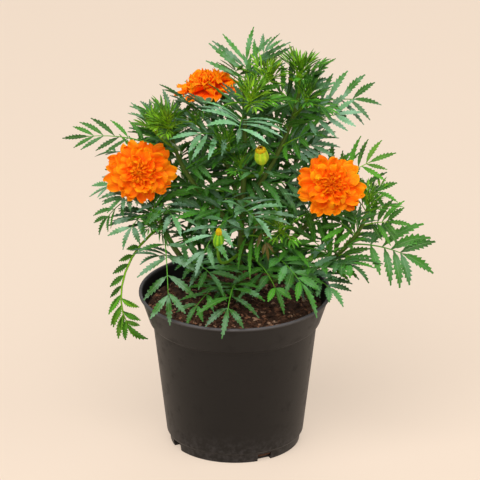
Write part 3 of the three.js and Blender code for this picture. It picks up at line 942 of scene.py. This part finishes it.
    def one_petal(self, bm, place, ring, middle, stretch, ruffle, draw):
        """A petal that widens from its claw, and ends in a round, softly notched and waved edge."""
        length = ring.length * stretch * draw(0.86, 1.0)
        width = ring.width * draw(0.86, 1.12)
        first = math.radians(ring.start + draw(-6, 6))
        curl = math.radians(ring.end - ring.start + draw(-12, 12)) / length
        wave = ring.ruffle * ruffle * draw(0.7, 1.2)
        phase = draw(0, 2 * math.pi)
        frill = draw(0, 2 * math.pi)
        slip = draw(-0.3, 0.3)
        notch = draw(0.02, 0.14)
        fold = draw(0.2, 0.9) * ring.ruffle
        twist = draw(-0.12, 0.12) * ring.ruffle

        def rule(point):
            row, across = max(point.x, 0), point.y
            end = max(2 * row - 1, 0) * PETAL_END
            blade = min(row, 0.5) * 2
            along = PETAL_SHOULDER * blade + (1 - PETAL_SHOULDER) * math.sin(end)
            claw = PETAL_CLAW + (1 - PETAL_CLAW) * math.sin(blade * math.pi / 2) ** 1.2
            half = 0.5 * width * claw * math.cos(end) ** 0.5
            tip = math.sin(end) ** 3
            bay = notch * math.exp(-(((across - slip) / 0.35) ** 2))
            lace = 0.026 * math.sin(7 * across + frill) + 0.01 * math.sin(16 * across)
            out = length * (along - (bay + lace) * tip)
            frills = 0.8 * tip * math.sin(PETAL_FRILLS * across + frill)
            ripple = math.sin(PETAL_WAVES * across + phase) + frills
            lift = wave * along**1.4 * ripple * 0.5 - fold * along * (1 - abs(across)) * 0.35
            lift += twist * across * half * along
            lift += point.z * PETAL_THICKNESS
            tilt = first + curl * out
            radial = ring.root + (math.cos(first) - math.cos(tilt)) / curl - lift * math.cos(tilt)
            rise = ring.height + (math.sin(tilt) - math.sin(first)) / curl + lift * math.sin(tilt)
            shift = across * half
            x = radial * math.cos(middle) - shift * math.sin(middle)
            y = radial * math.sin(middle) + shift * math.cos(middle)
            return place @ Vector((x, y, rise))

        add_shape(bm, self.petal, rule, deep=ring.deep * draw(0.2, 1.8), spot=ring.spot)


def bezier(route, share):
    rest = 1 - share
    a, b, c, d = route
    return a * rest**3 + b * (3 * rest**2 * share) + c * (3 * rest * share**2) + d * share**3


def slope(route, share):
    rest = 1 - share
    a, b, c, d = route
    along = (b - a) * rest**2 + (c - b) * (2 * rest * share) + (d - c) * share**2
    return along.normalized()


# ---- Blooms and buds ----

CALYX_RADIUS = 4.6
CALYX_LENGTH = 15
STALK_RADIUS = 1.6
BLOOM_BACK = 7
CORE = [(0, 0), (4.0, 0.6), (5.0, 3.4), (4.0, 7.4), (0, 9.4)]
PETAL_THICKNESS = 0.35
PETAL_SHOULDER = 0.64
PETAL_CLAW = 0.3
PETAL_END = math.radians(78)
PETAL_WAVES = 5.6
PETAL_FRILLS = 10
POD_STEPS = 48


@dataclass
class Bloom:
    """A bloom's middle in millimetres, the way that it faces, its seed and how oval it is."""

    middle: tuple
    facing: tuple
    seed: int
    oval: float = 0

    def axis(self):
        return Vector(self.facing).normalized()

    def stalk_end(self, run):
        """The last two points of its stalk's route, which meets it from behind."""
        end = Vector(self.middle) - self.axis() * (BLOOM_BACK + CALYX_LENGTH)
        return [tuple(end - self.axis() * run), tuple(end)]

    def matrix(self):
        return stood(at(self.middle), self.axis(), MM)

    def behind(self, away):
        """A place on the bloom's axis, behind its middle."""
        return at(self.middle) - self.axis() * away * MM


BLOOMS = {
    "left": Bloom((-73.4, -10, 230), (-0.1, -0.95, 0.3), 11, 0.13),
    "right": Bloom((74.6, -25, 224.5), (0.05, -0.85, 0.5), 23, 0.10),
    "top": Bloom((-21, 20, 290.5), (-0.12, 0.08, 0.99), 37),
}


@dataclass
class Ring:
    """Petals that leave the core together: how many, how long and wide, their tilt from the
    bloom's axis at root and edge in degrees, how far from it and how high they start, and how
    wavy, deep in colour and dark at the tip they are."""

    count: int
    length: float
    width: float
    start: float
    end: float
    root: float
    height: float
    ruffle: float
    deep: float
    spot: float = 0


PETAL_RINGS = [
    Ring(9, 23.4, 14.2, 86, 98, 4.6, -3.4, 2.6, 0.42),
    Ring(7, 18.6, 16.6, 77, 93, 4.6, -2.2, 4.8, 0.34),
    Ring(5, 15.6, 16.4, 60, 88, 4.2, -1.0, 6.4, 0.26),
    Ring(5, 12.8, 13.0, 44, 78, 3.6, 0.0, 6.4, 0.3),
    Ring(9, 10.4, 6.6, 26, 60, 3.0, 0.8, 5.2, 0.4),
    Ring(11, 8.9, 4.6, 10, 40, 2.2, 1.4, 4.2, 0.5),
    Ring(9, 7.9, 3.4, -6, 20, 1.2, 2.2, 3.0, 0.6),
]


@dataclass
class Bud:
    """A bud's cup, its age, how far it closes and how striped it is, and the petals at its tip:
    how long they are, the tilt that they end in, and how dark the hollow between them is."""

    radius: float
    length: float
    age: float
    top: float
    stripe: float
    petal: float
    close: float
    spot: float


# ---- The plant's stems ----

STEM_STEPS = 24
STEM_SIDES = 10
RIBBING = 0.07
FILL_AGE = 0.8
FILL_DROOP = (46, 24)
INNER_ROLL = 52
INNER_FRONT = 12
INNER_TESTS = (0.5, 0.8, 1.1)
INNER_LOWEST = 124
TUFT_LEAN = (12, 68)
TUFT_DROOP = (10, 42)
TUFT_LEAFLET = 0.52
TUFT_AGEING = 0.22

# The age and the bark, from 0 to 1, of a bud's stalk and of a leafy stem. For a young shoot's
# stem, its radius at foot and tip in millimetres stand before them.
GREEN_STALK = (0.3, 0.25)
RIBBED_STEM = (0.5, 1.0)
SHOOT_STEM = (1.2, 0.7, 0.2, 0.3)


@dataclass
class Fill:
    """Leaves by rule between two shares of a stem: each a golden turn from the last, smaller and
    steeper to the top. Lengths are in millimetres, and the turn and pitch in degrees. The
    leaflets reach a share of the leaf's length."""

    start: float
    end: float
    count: int
    long: float
    short: float
    seed: int
    turn: float = 0
    pairs: int = 3
    pitch: tuple = (10, 50)
    leaflet = 0.5

    def grow(self, plant, bm, route, draw):
        choice = draws(self.seed)
        for i in range(self.count):
            share = i / (self.count - 1)
            base = bezier(route, between(self.start, self.end, share)) / MM
            heading = math.radians(self.turn + GOLDEN_TURN * i + choice(-14, 14))
            rise = math.radians(between(*self.pitch, share) + choice(-8, 8))
            chord = between(self.long, self.short, share) * choice(0.92, 1.08)
            reach = toward(heading, chord * math.cos(rise), chord * math.sin(rise))
            droop = between(*FILL_DROOP, share)
            if self.suits(base, reach):
                roll, youth = self.varied(base, heading, choice)
                look = (droop, roll, self.pairs, self.leaflet * chord, FILL_AGE - youth)
                plant.leaf(bm, Leaf(base * MM, base + reach, *look), draw)

    def suits(self, base, reach):
        return True

    def varied(self, base, heading, choice):
        """How far a leaf rolls, and how much younger than the rest it is."""
        return 0, 0


class Inner(Fill):
    """Leaves by rule that stay inside the bush, roll to the light and leave the flowers clear."""

    leaflet = 0.68

    def suits(self, base, reach):
        return all(inside_bush(base + reach * share) for share in INNER_TESTS)

    def varied(self, base, heading, choice):
        face = 1 if base.y < INNER_FRONT else -1
        return face * INNER_ROLL * math.cos(heading) + choice(-20, 20), choice(-0.06, 0.38)


@dataclass
class Shoot:
    """A tuft of young leaves: where on the stem it springs, how far out and which way it stands,
    how many leaves it has and how long they are in millimetres."""

    share: float
    end: tuple
    count: int
    long: float
    seed: int
    age: float = 0.13

    def grow(self, plant, bm, route, draw):
        """Grows a short side stem and the tuft at its end, steep inside and wide out."""
        choice = draws(self.seed)
        base = bezier(route, self.share)
        end = at(self.end)
        axis = (end - base).normalized()
        bend = base.lerp(end, 0.5) - UP * 0.15 * (end - base).length
        plant.stem(bm, [base, bend, base.lerp(end, 0.75), end], *SHOOT_STEM)
        turn = UP.rotation_difference((axis + UP * 0.8).normalized())
        for i in range(self.count):
            share = i / (self.count - 1)
            heading = math.radians(GOLDEN_TURN * i + choice(-15, 15))
            lean = math.radians(between(*TUFT_LEAN, share) + choice(-6, 6))
            chord = self.long * between(0.6, 1.0, share) * choice(0.85, 1.1)
            start = base.lerp(end, between(1.0, 0.7, share))
            tip = start / MM + (turn @ toward(heading, math.sin(lean), math.cos(lean))) * chord
            age = self.age + TUFT_AGEING * share
            droop = between(*TUFT_DROOP, share)
            roll = choice(-30, 30)
            if clear_of_flowers(tip):
                leaf = Leaf(start, tip, droop, roll, 3, TUFT_LEAFLET * chord, age, 0.68, 0.55)
                plant.leaf(bm, leaf, choice)


@dataclass
class Stem:
    """A stem's route in millimetres, its radius at foot and tip, and what it bears."""

    route: list
    foot: float
    tip: float
    bears: list = field(default_factory=list)
    bloom: str = ""
    bud: object = None

    def curve(self):
        return [at(point) for point in self.route]


STEMS = {
    "leader": Stem([(2, 4, 80), (2, 4, 150), (10, -4, 230), (7, 4, 296)], 3, 1.6, [
        Leaf(0.97, (12, 45, 329), 30, reach=38, age=0.8, wide=0.9),
        Leaf(0.87, (2, -62, 275), 60, -16, 4, 37, 0.94, 0.85, 1.25, 0.68, 0.5, 0.5),
        Leaf(0.78, (-50, -25, 263), 40, -32, 4, 30, 0.92, 0.95, 1.05, 0.5),
        Leaf(0.85, (0, -16, 305), 30, reach=28, age=0.88, spread=0.9),
        Leaf(0.5, (-30, -66, 166), 80, reach=26, age=0.9),
        Leaf(0.5, (26, -42, 168), 110, 20, 4, 12, 1.2, 1.1, 0.6),
        Leaf(0.2, (-8, -83, 121), 98, reach=32, age=0.76),
        Leaf(0.22, (-38, -56, 120), 84, reach=22, age=0.72),
        Leaf(0.38, (64, -66, 131), 84, 0, 4, 24, 0.7, 1.35, 1, 0.66, 1.3),
        Leaf(0.34, (38, -66, 134), 84, 0, 3, 18, 0.62, 1.35, 1, 0.7, 1.3),
        Leaf(0.99, (34, 24, 332), 20, pairs=3, reach=22, age=0.8, wide=0.85),
        Leaf(0.98, (-6, -16, 325), 24, pairs=3, reach=20, age=0.84, wide=0.85),
        Fill(0.3, 0.8, 5, 62, 52, 1, 140),
        Fill(0.22, 0.3, 2, 46, 46, 2, 260, 2, (10, 20)),
        Inner(0.32, 0.96, 15, 58, 40, 51, 30, 3, (0, 55)),
        Shoot(0.9, (12, -18, 292), 14, 32, 61),
        Shoot(0.95, (27, -4, 305), 13, 30, 62),
        Shoot(0.66, (4, -20, 236), 12, 28, 63, 0.3),
        Shoot(0.72, (-8, -12, 250), 13, 32, 64, 0.3),
    ]),
    "left_flower": Stem([(2, 3, 126), (-58, -5, 132), *BLOOMS["left"].stalk_end(20)], 2.5, 1.4, [
        Leaf(0.3, (-8, -45, 141), 60, reach=30),
        Leaf(0.5, (-51, -66, 124), 100, reach=28, age=0.74),
        Leaf(0.5, (-69, 2, 80), 134, -74, 9, 13, 0.4, 1.9, 0.8, 0.26, 1, 0.2, 2.4, (-1,)),
        Leaf(0.5, (-69, 2, 80), 134, -74, 5, 19, 0.32, 1.3, 0.7, 0.72, 1.3, 0.2, 1.6),
        Leaf(0.7, (-106, -5, 174), 80, reach=20, age=0.65),
        Leaf(0.66, (-40, -35, 186), 50, reach=28, age=0.88),
        Leaf(0.6, (-88, -28, 172), 70, reach=24, age=0.8),
        Leaf(0.75, (-98, -14, 196), 50, reach=22, age=0.84),
        Leaf(0.85, (-113, 8, 200), 30, pairs=3, reach=22, age=0.86),
        Fill(0.3, 0.8, 2, 50, 46, 6, 240),
        Inner(0.25, 0.9, 10, 50, 40, 52, 70, 3, (0, 50)),
        Shoot(0.6, (-62, -14, 184), 12, 30, 65, 0.35),
    ], bloom="left"),
    "right_flower": Stem([(5, 2.5, 150), (50, 8, 150), *BLOOMS["right"].stalk_end(22)], 2.4, 1.4, [
        Leaf(0.92, (125, 0, 240), 40, 40, reach=26, age=0.42, wide=0.85),
        Leaf(0.86, (127, -5, 203), 50, 35, 3, 22, 0.45),
        Fill(0.4, 0.7, 2, 56, 50, 5, 80),
        Inner(0.2, 0.92, 11, 50, 40, 53, 150, 3, (0, 50)),
        Shoot(0.4, (34, -30, 188), 11, 30, 66, 0.2),
    ], bloom="right"),
    "top_flower": Stem([(5, 1.8, 190), (-2, 14, 220), *BLOOMS["top"].stalk_end(20)], 2, 1.4, [
        Leaf(0.7, (-56, -18, 303), 30, reach=22, age=0.88),
        Leaf(0.6, (-30, -24, 300), 34, reach=24, age=0.9, spread=0.8),
        Leaf(0.75, (-46, -16, 292), 40, pairs=3, reach=20, age=0.86),
        Leaf(0.5, (-60, 30, 262), 50, reach=26),
        Leaf(0.65, (-25, 75, 275), 50, reach=28),
        Inner(0.15, 0.85, 9, 48, 40, 54, 200, 3, (5, 55)),
        Shoot(0.7, (-30, -6, 268), 12, 30, 67, 0.3),
    ], bloom="top"),
    "upper_right": Stem([(7, 0.5, 197), (25, 0, 222), (45, 8, 255), (50, 10, 290)], 2.2, 1.4, [
        Leaf(0.85, (114, 15, 276), 40, 40, 4, 28, 0.8, 0.9, 0.95),
        Leaf(0.7, (99, -5, 277), 24, 35, 4, 27, 0.86, 0.9, 0.95),
        Leaf(0.5, (82, 12, 242), 30, 25, reach=28, age=0.9),
        Leaf(0.97, (41, 12, 327), 20, pairs=2, reach=14, age=0.3),
        Leaf(0.99, (55, 4, 322), 20, pairs=2, reach=14, age=0.3),
        Leaf(0.98, (78, 12, 315), 24, pairs=3, reach=18, age=0.5),
        Leaf(0.6, (70, 62, 285), 50, reach=28),
        Fill(0.3, 0.8, 2, 48, 44, 7, 260),
        Inner(0.2, 0.95, 12, 50, 40, 55, 10, 3, (0, 55)),
        Shoot(0.97, (50, 6, 304), 16, 32, 68, 0.24),
        Shoot(0.8, (56, -10, 290), 14, 32, 69, 0.33),
    ]),
    "upper_left": Stem([(4, 1, 176), (-20, 5, 195), (-45, 5, 222), (-50, 0, 262)], 2.2, 1.3, [
        Leaf(0.3, (27, -62, 196), 70, -15, 4, 34, 0.9, 1, 1.2, 0.75, 0.7, 0.5),
        Leaf(0.8, (-134, 22, 242), 44, -40, 5, 23, 0.62, 0.8, 0.75),
        Leaf(0.6, (-110, 28, 227), 60, pairs=3, reach=16, age=0.8),
        Leaf(0.97, (-78, 2, 280), 24, pairs=3, reach=16, age=0.55),
        Leaf(0.98, (-40, -18, 284), 30, pairs=2, reach=14, age=0.4),
        Leaf(0.7, (-75, 55, 262), 50, reach=26),
        Fill(0.35, 0.85, 2, 50, 44, 9, 340),
        Inner(0.15, 0.95, 12, 48, 40, 56, 92, 3, (0, 55)),
        Shoot(0.95, (-52, -8, 266), 17, 30, 70),
        Shoot(0.85, (-64, -2, 262), 14, 28, 71, 0.2),
    ]),
    "low_right": Stem([(4.5, 2.3, 130), (40, -14, 138), (85, -14, 150), (101, -10, 190)], 2.4, 1.3, [
        Leaf(0.8, (154, -20, 148), 50, 50, reach=34, age=0.72, wide=1.5),
        Leaf(0.95, (137, -15, 186), 40, 50, reach=22, age=0.4),
        Leaf(0.42, (88, -50, 160), 50, reach=30, age=0.72, wide=1.3),
        Leaf(0.35, (84, -52, 134), 80, reach=24, age=0.77, wide=1.2),
        Leaf(0.6, (104, -46, 152), 70, reach=28, age=0.72, wide=1.3),
        Leaf(0.99, (118, 8, 218), 20, pairs=2, reach=12, age=0.3),
        Fill(0.3, 0.9, 2, 50, 46, 10, 120),
        Inner(0.2, 0.95, 11, 48, 36, 57, 40, 3, (0, 50)),
        Shoot(0.97, (102, -14, 200), 14, 32, 72, 0.25),
    ]),
    "front_bud": Stem([(7.5, 0, 222), (20, -4, 224), (22, -22, 232), (21, -25, 243)], 1.3, 1.1,
        bud=Bud(5.6, 12.6, 0.02, 0.76, 0.07, 5.2, -78, 1)),
    "low_bud": Stem([(3.8, 1, 156), (-4, -22, 160), (-14, -46, 160), (-13, -50, 183)], 1.3, 1.1,
        bud=Bud(4.4, 13, 0.16, 0.56, 0.22, 5.6, -30, 0)),
    "back_left": Stem([(2.5, 3.5, 140), (-20, 25, 150), (-48, 45, 180), (-52, 50, 222)], 2.2, 1.3, [
        Fill(0.4, 0.95, 4, 66, 52, 9, 96),
        Inner(0.2, 1.0, 13, 52, 40, 58, 20, 3, (0, 60)),
        Shoot(0.98, (-52, 50, 232), 14, 32, 73),
    ]),
    "back_right": Stem([(4.8, 3, 158), (25, 25, 165), (50, 50, 195), (52, 52, 240)], 2.2, 1.3, [
        Fill(0.4, 0.95, 4, 66, 52, 6, 20),
        Inner(0.2, 1.0, 13, 52, 40, 59, 60, 3, (0, 60)),
        Shoot(0.98, (52, 52, 250), 14, 32, 74),
    ]),
}

# The bush's outline as the photograph shows it, in millimetres: X, and the height up the picture.
OUTLINE = [
    (-45, 95), (-60, 130), (-84, 165), (-104, 205), (-112, 240), (-60, 255), (-20, 262),
    (-10, 300), (35, 306), (90, 288), (92, 255), (80, 240), (105, 215), (122, 190),
    (134, 150), (118, 112), (66, 84), (0, 78),
]
PICTURE_UP = Vector((0, 0.399, 0.917))
FLOWER_ROOM = 31
BUD_MIDDLE = 6
BUD_ROOM = Vector((13, 2, 20))


def inside_outline(point):
    """Whether a point in millimetres shows inside the bush's outline from the front."""
    x, height = point.x, point.dot(PICTURE_UP)
    crossings = 0
    for (x1, h1), (x2, h2) in zip(OUTLINE, OUTLINE[1:] + OUTLINE[:1]):
        if (h1 > height) != (h2 > height) and x < x1 + (height - h1) / (h2 - h1) * (x2 - x1):
            crossings += 1
    return crossings % 2 == 1


def clear_of_flowers(point):
    """Whether a point in millimetres leaves the faces of the blooms and the buds to be seen."""
    for bloom in BLOOMS.values():
        away = point - Vector(bloom.middle)
        front = away.dot(bloom.axis())
        if front > -BLOOM_BACK and (away - bloom.axis() * front).length < FLOWER_ROOM:
            return False
    for stem in STEMS.values():
        if stem.bud:
            away = point - Vector(stem.route[3]) - UP * BUD_MIDDLE
            high = abs(away.dot(PICTURE_UP)) < BUD_ROOM.z
            if away.y < BUD_ROOM.y and abs(away.x) < BUD_ROOM.x and high:
                return False
    return True


def inside_bush(point):
    return inside_outline(point) and clear_of_flowers(point) and point.z >= INNER_LOWEST


def toward(heading, level, rise):
    """So far level in a heading, and so far up."""
    return Vector((level * math.cos(heading), level * math.sin(heading), rise))


def calyx(plant, bm, bloom):
    """The green cup behind a bloom."""
    profile = [
        (0, -1),
        (STALK_RADIUS, -1),
        (CALYX_RADIUS, 0.4 * CALYX_LENGTH),
        (CALYX_RADIUS, CALYX_LENGTH),
        (0, CALYX_LENGTH),
    ]
    start = bloom.behind(BLOOM_BACK + CALYX_LENGTH)
    plant.pod(bm, start, bloom.axis(), profile, 8, age=0.35, tone=0)


def cup(plant, bm, bud, place, axis):
    """The ribbed green cup of a bud."""
    profile = [
        (0, -1),
        (STALK_RADIUS, -1),
        (0.8 * bud.radius, 0.2 * bud.length),
        (bud.radius, 0.48 * bud.length),
        (between(bud.top, 1, 0.62) * bud.radius, 0.78 * bud.length),
        (bud.top * bud.radius, bud.length),
        (0, bud.length),
    ]
    plant.pod(bm, place, axis, profile, 7, bud.stripe, age=bud.age, tone=0.3)


def bud_tip(plant, bm, bud, place, axis, draw):
    """The petals that close a bud, in two rings round a low core."""
    top = bud.top * bud.radius
    profile = [
        (0, bud.length - 1.5),
        (top - 0.1 * bud.radius, bud.length - 1.5),
        (top - 0.16 * bud.radius, bud.length + 0.4),
        (0, bud.length + 0.8),
    ]
    plant.pod(bm, place, axis, profile, 6, deep=0.3, spot=bud.spot)
    for layer in range(2):
        ring = Ring(
            count=7,
            length=bud.petal,
            width=1.05 * top,
            start=6,
            end=bud.close,
            root=top - (0.08 + 0.12 * layer) * bud.radius,
            height=bud.length - 1,
            ruffle=0.3,
            deep=0.1,
            spot=bud.spot,
        )
        plant.ring(bm, stood(place, axis, MM), ring, 0.45 * layer, 1.0, 0, draw)


def finish_plant(name, bm, material, slot, node):
    bmesh.ops.recalc_face_normals(bm, faces=bm.faces[:])
    finish(name, bm, material, slot, node)


class MARIGOLD_OT_stems(bpy.types.Operator):
    """Grow the leafy stems with their leaves, young shoots and green cups"""

    bl_idname = "marigold.stems"
    bl_label = "Leafy Stems"

    def execute(self, context):
        settings = context.scene.marigold_foliage
        material = foliage(settings)
        plant = Plant(settings.leaflet_width)
        for name, stem in STEMS.items():
            bm = plant_mesh()
            route = stem.curve()
            draw = draws(len(name) + 7)
            look = GREEN_STALK if stem.bud else RIBBED_STEM
            plant.stem(bm, route, stem.foot, stem.tip, *look)
            for part in stem.bears:
                part.grow(plant, bm, route, draw)
            if stem.bloom:
                calyx(plant, bm, BLOOMS[stem.bloom])
            if stem.bud:
                cup(plant, bm, stem.bud, route[3], slope(route, 1))
            finish_plant(f"leafy_stem_{name}", bm, material, "leaf", f"stem_{name}")
        return {"FINISHED"}


class MARIGOLD_OT_blooms(bpy.types.Operator):
    """Open the double blooms, ring by ring from the outside in"""

    bl_idname = "marigold.blooms"
    bl_label = "Blooms"

    def execute(self, context):
        settings = context.scene.marigold_bloom
        throat = settings.throat
        material = petals("petals", settings.petal, throat, throat, PETAL_GLOW)
        plant = Plant(context.scene.marigold_foliage.leaflet_width)
        for name, bloom in BLOOMS.items():
            bm = plant_mesh()
            draw = draws(bloom.seed)
            for layer, ring in enumerate(PETAL_RINGS):
                turn = layer * math.pi / ring.count
                plant.ring(bm, bloom.matrix(), ring, turn, settings.ruffle, bloom.oval, draw)
            plant.pod(bm, bloom.behind(BLOOM_BACK), bloom.axis(), CORE, 9, deep=1.0, spot=0)
            finish_plant(f"petals_{name}", bm, material, "petal", f"bloom_{name}")
        return {"FINISHED"}


class MARIGOLD_OT_bud_tips(bpy.types.Operator):
    """Close the buds with the tips of their petals"""

    bl_idname = "marigold.bud_tips"
    bl_label = "Bud Tips"

    def execute(self, context):
        tip = context.scene.marigold_bloom.tip
        material = petals("bud_tips", tip, scaled(tip, 0.7), BUD_HOLLOW, 0.0)
        plant = Plant(context.scene.marigold_foliage.leaflet_width)
        for name, stem in STEMS.items():
            if stem.bud:
                bm = plant_mesh()
                route = stem.curve()
                bud_tip(plant, bm, stem.bud, route[3], slope(route, 1), draws(len(name)))
                finish_plant(f"bud_tip_{name}", bm, material, "bud_tip", f"tip_{name}")
        return {"FINISHED"}


# ---- Stage ----

TARGET = Vector((3.9, 0, 167.8)) * MM
CAMERA_DISTANCE = 6.0
CAMERA_REACH = 40
SENSOR = 36.0
PIXELS = 480
PIXEL = 0.777 * MM
FLOOR_RADIUS = 5.0
FLOOR_SIDES = 96
SKY = (0.90, 0.82, 0.74, 1)
SKY_STRENGTH = 0.12
LIGHT_COLOUR = (1.0, 0.975, 0.95)

# Soft lights: where each stands and how wide it is in metres, and its power in watts.
LIGHTS = {
    "key": ((-0.5, -1.7, 2.9), 3.4, 158),
    "fill": ((2.2, -0.8, 2.0), 2.6, 26),
    "back": ((0.2, 2.2, 2.6), 2.6, 34),
}


def softbox(name, place, size, power):
    light = bpy.data.lights.new(name, "AREA")
    light.shape = "DISK"
    light.size = size
    light.energy = power
    light.color = LIGHT_COLOUR
    lamp = to_object(name, light)
    lamp.location = place
    lamp.rotation_euler = (TARGET - Vector(place)).to_track_quat("-Z", "Y").to_euler()


class MARIGOLD_OT_stage(bpy.types.Operator):
    """Lay the pale floor and set the soft lights and the camera"""

    bl_idname = "marigold.stage"
    bl_label = "Stage"

    def execute(self, context):
        stage = context.scene.marigold_stage
        bm = bmesh.new()
        bmesh.ops.create_circle(bm, cap_ends=True, segments=FLOOR_SIDES, radius=FLOOR_RADIUS)
        floor = to_object("floor", to_mesh("floor", bm))
        floor.data.materials.append(floor_paper(stage))
        floor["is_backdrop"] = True

        world = bpy.data.worlds.new("studio")
        context.scene.world = world
        world.use_nodes = True
        sky = world.node_tree.nodes["Background"]
        sky.inputs["Color"].default_value = SKY
        sky.inputs["Strength"].default_value = SKY_STRENGTH * stage.light
        for name, (place, size, power) in LIGHTS.items():
            softbox(name, place, size, power * stage.light)

        data = bpy.data.cameras.new("camera")
        data.sensor_width = SENSOR
        data.lens = SENSOR * CAMERA_DISTANCE / (PIXELS * PIXEL)
        data.clip_end = CAMERA_REACH
        camera = to_object("camera", data)
        back = Vector((0, -math.cos(stage.elevation), math.sin(stage.elevation)))
        camera.location = TARGET + back * CAMERA_DISTANCE
        camera.rotation_euler = (-back).to_track_quat("-Z", "Y").to_euler()
        context.scene.camera = camera
        context.scene.view_settings.view_transform = "Standard"
        return {"FINISHED"}


# ---- Add-on ----

SETTINGS = {
    "marigold_pot": PotSettings,
    "marigold_soil": SoilSettings,
    "marigold_foliage": FoliageSettings,
    "marigold_bloom": BloomSettings,
    "marigold_stage": StageSettings,
}
OPERATORS = (
    MARIGOLD_OT_pot,
    MARIGOLD_OT_soil,
    MARIGOLD_OT_stems,
    MARIGOLD_OT_blooms,
    MARIGOLD_OT_bud_tips,
    MARIGOLD_OT_stage,
)


class MARIGOLD_PT_panel(bpy.types.Panel):
    """The marigold's settings and the pieces that they make"""

    bl_label = "Potted Marigold"
    bl_idname = "MARIGOLD_PT_panel"
    bl_space_type = "VIEW_3D"
    bl_region_type = "UI"
    bl_category = "Marigold"

    def draw(self, context):
        for name, group in SETTINGS.items():
            box = self.layout.box()
            box.label(text=group.__doc__)
            settings = getattr(context.scene, name)
            for prop in group.__annotations__:
                box.prop(settings, prop)
        for operator in OPERATORS:
            self.layout.operator(operator.bl_idname)


CLASSES = (*SETTINGS.values(), *OPERATORS, MARIGOLD_PT_panel)


def register():
    for cls in CLASSES:
        bpy.utils.register_class(cls)
    for name, group in SETTINGS.items():
        setattr(bpy.types.Scene, name, PointerProperty(type=group))


def unregister():
    for name in SETTINGS:
        delattr(bpy.types.Scene, name)
    for cls in reversed(CLASSES):
        bpy.utils.unregister_class(cls)


def main():
    register()
    for name in ("pot", "soil", "stems", "blooms", "bud_tips", "stage"):
        getattr(bpy.ops.marigold, name)()
    boxes = {"cad": CAD_BOX, "visual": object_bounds()}
    {name: [list(corner) for corner in box] for name, box in boxes.items()}


if __name__ == "__main__":
    main()
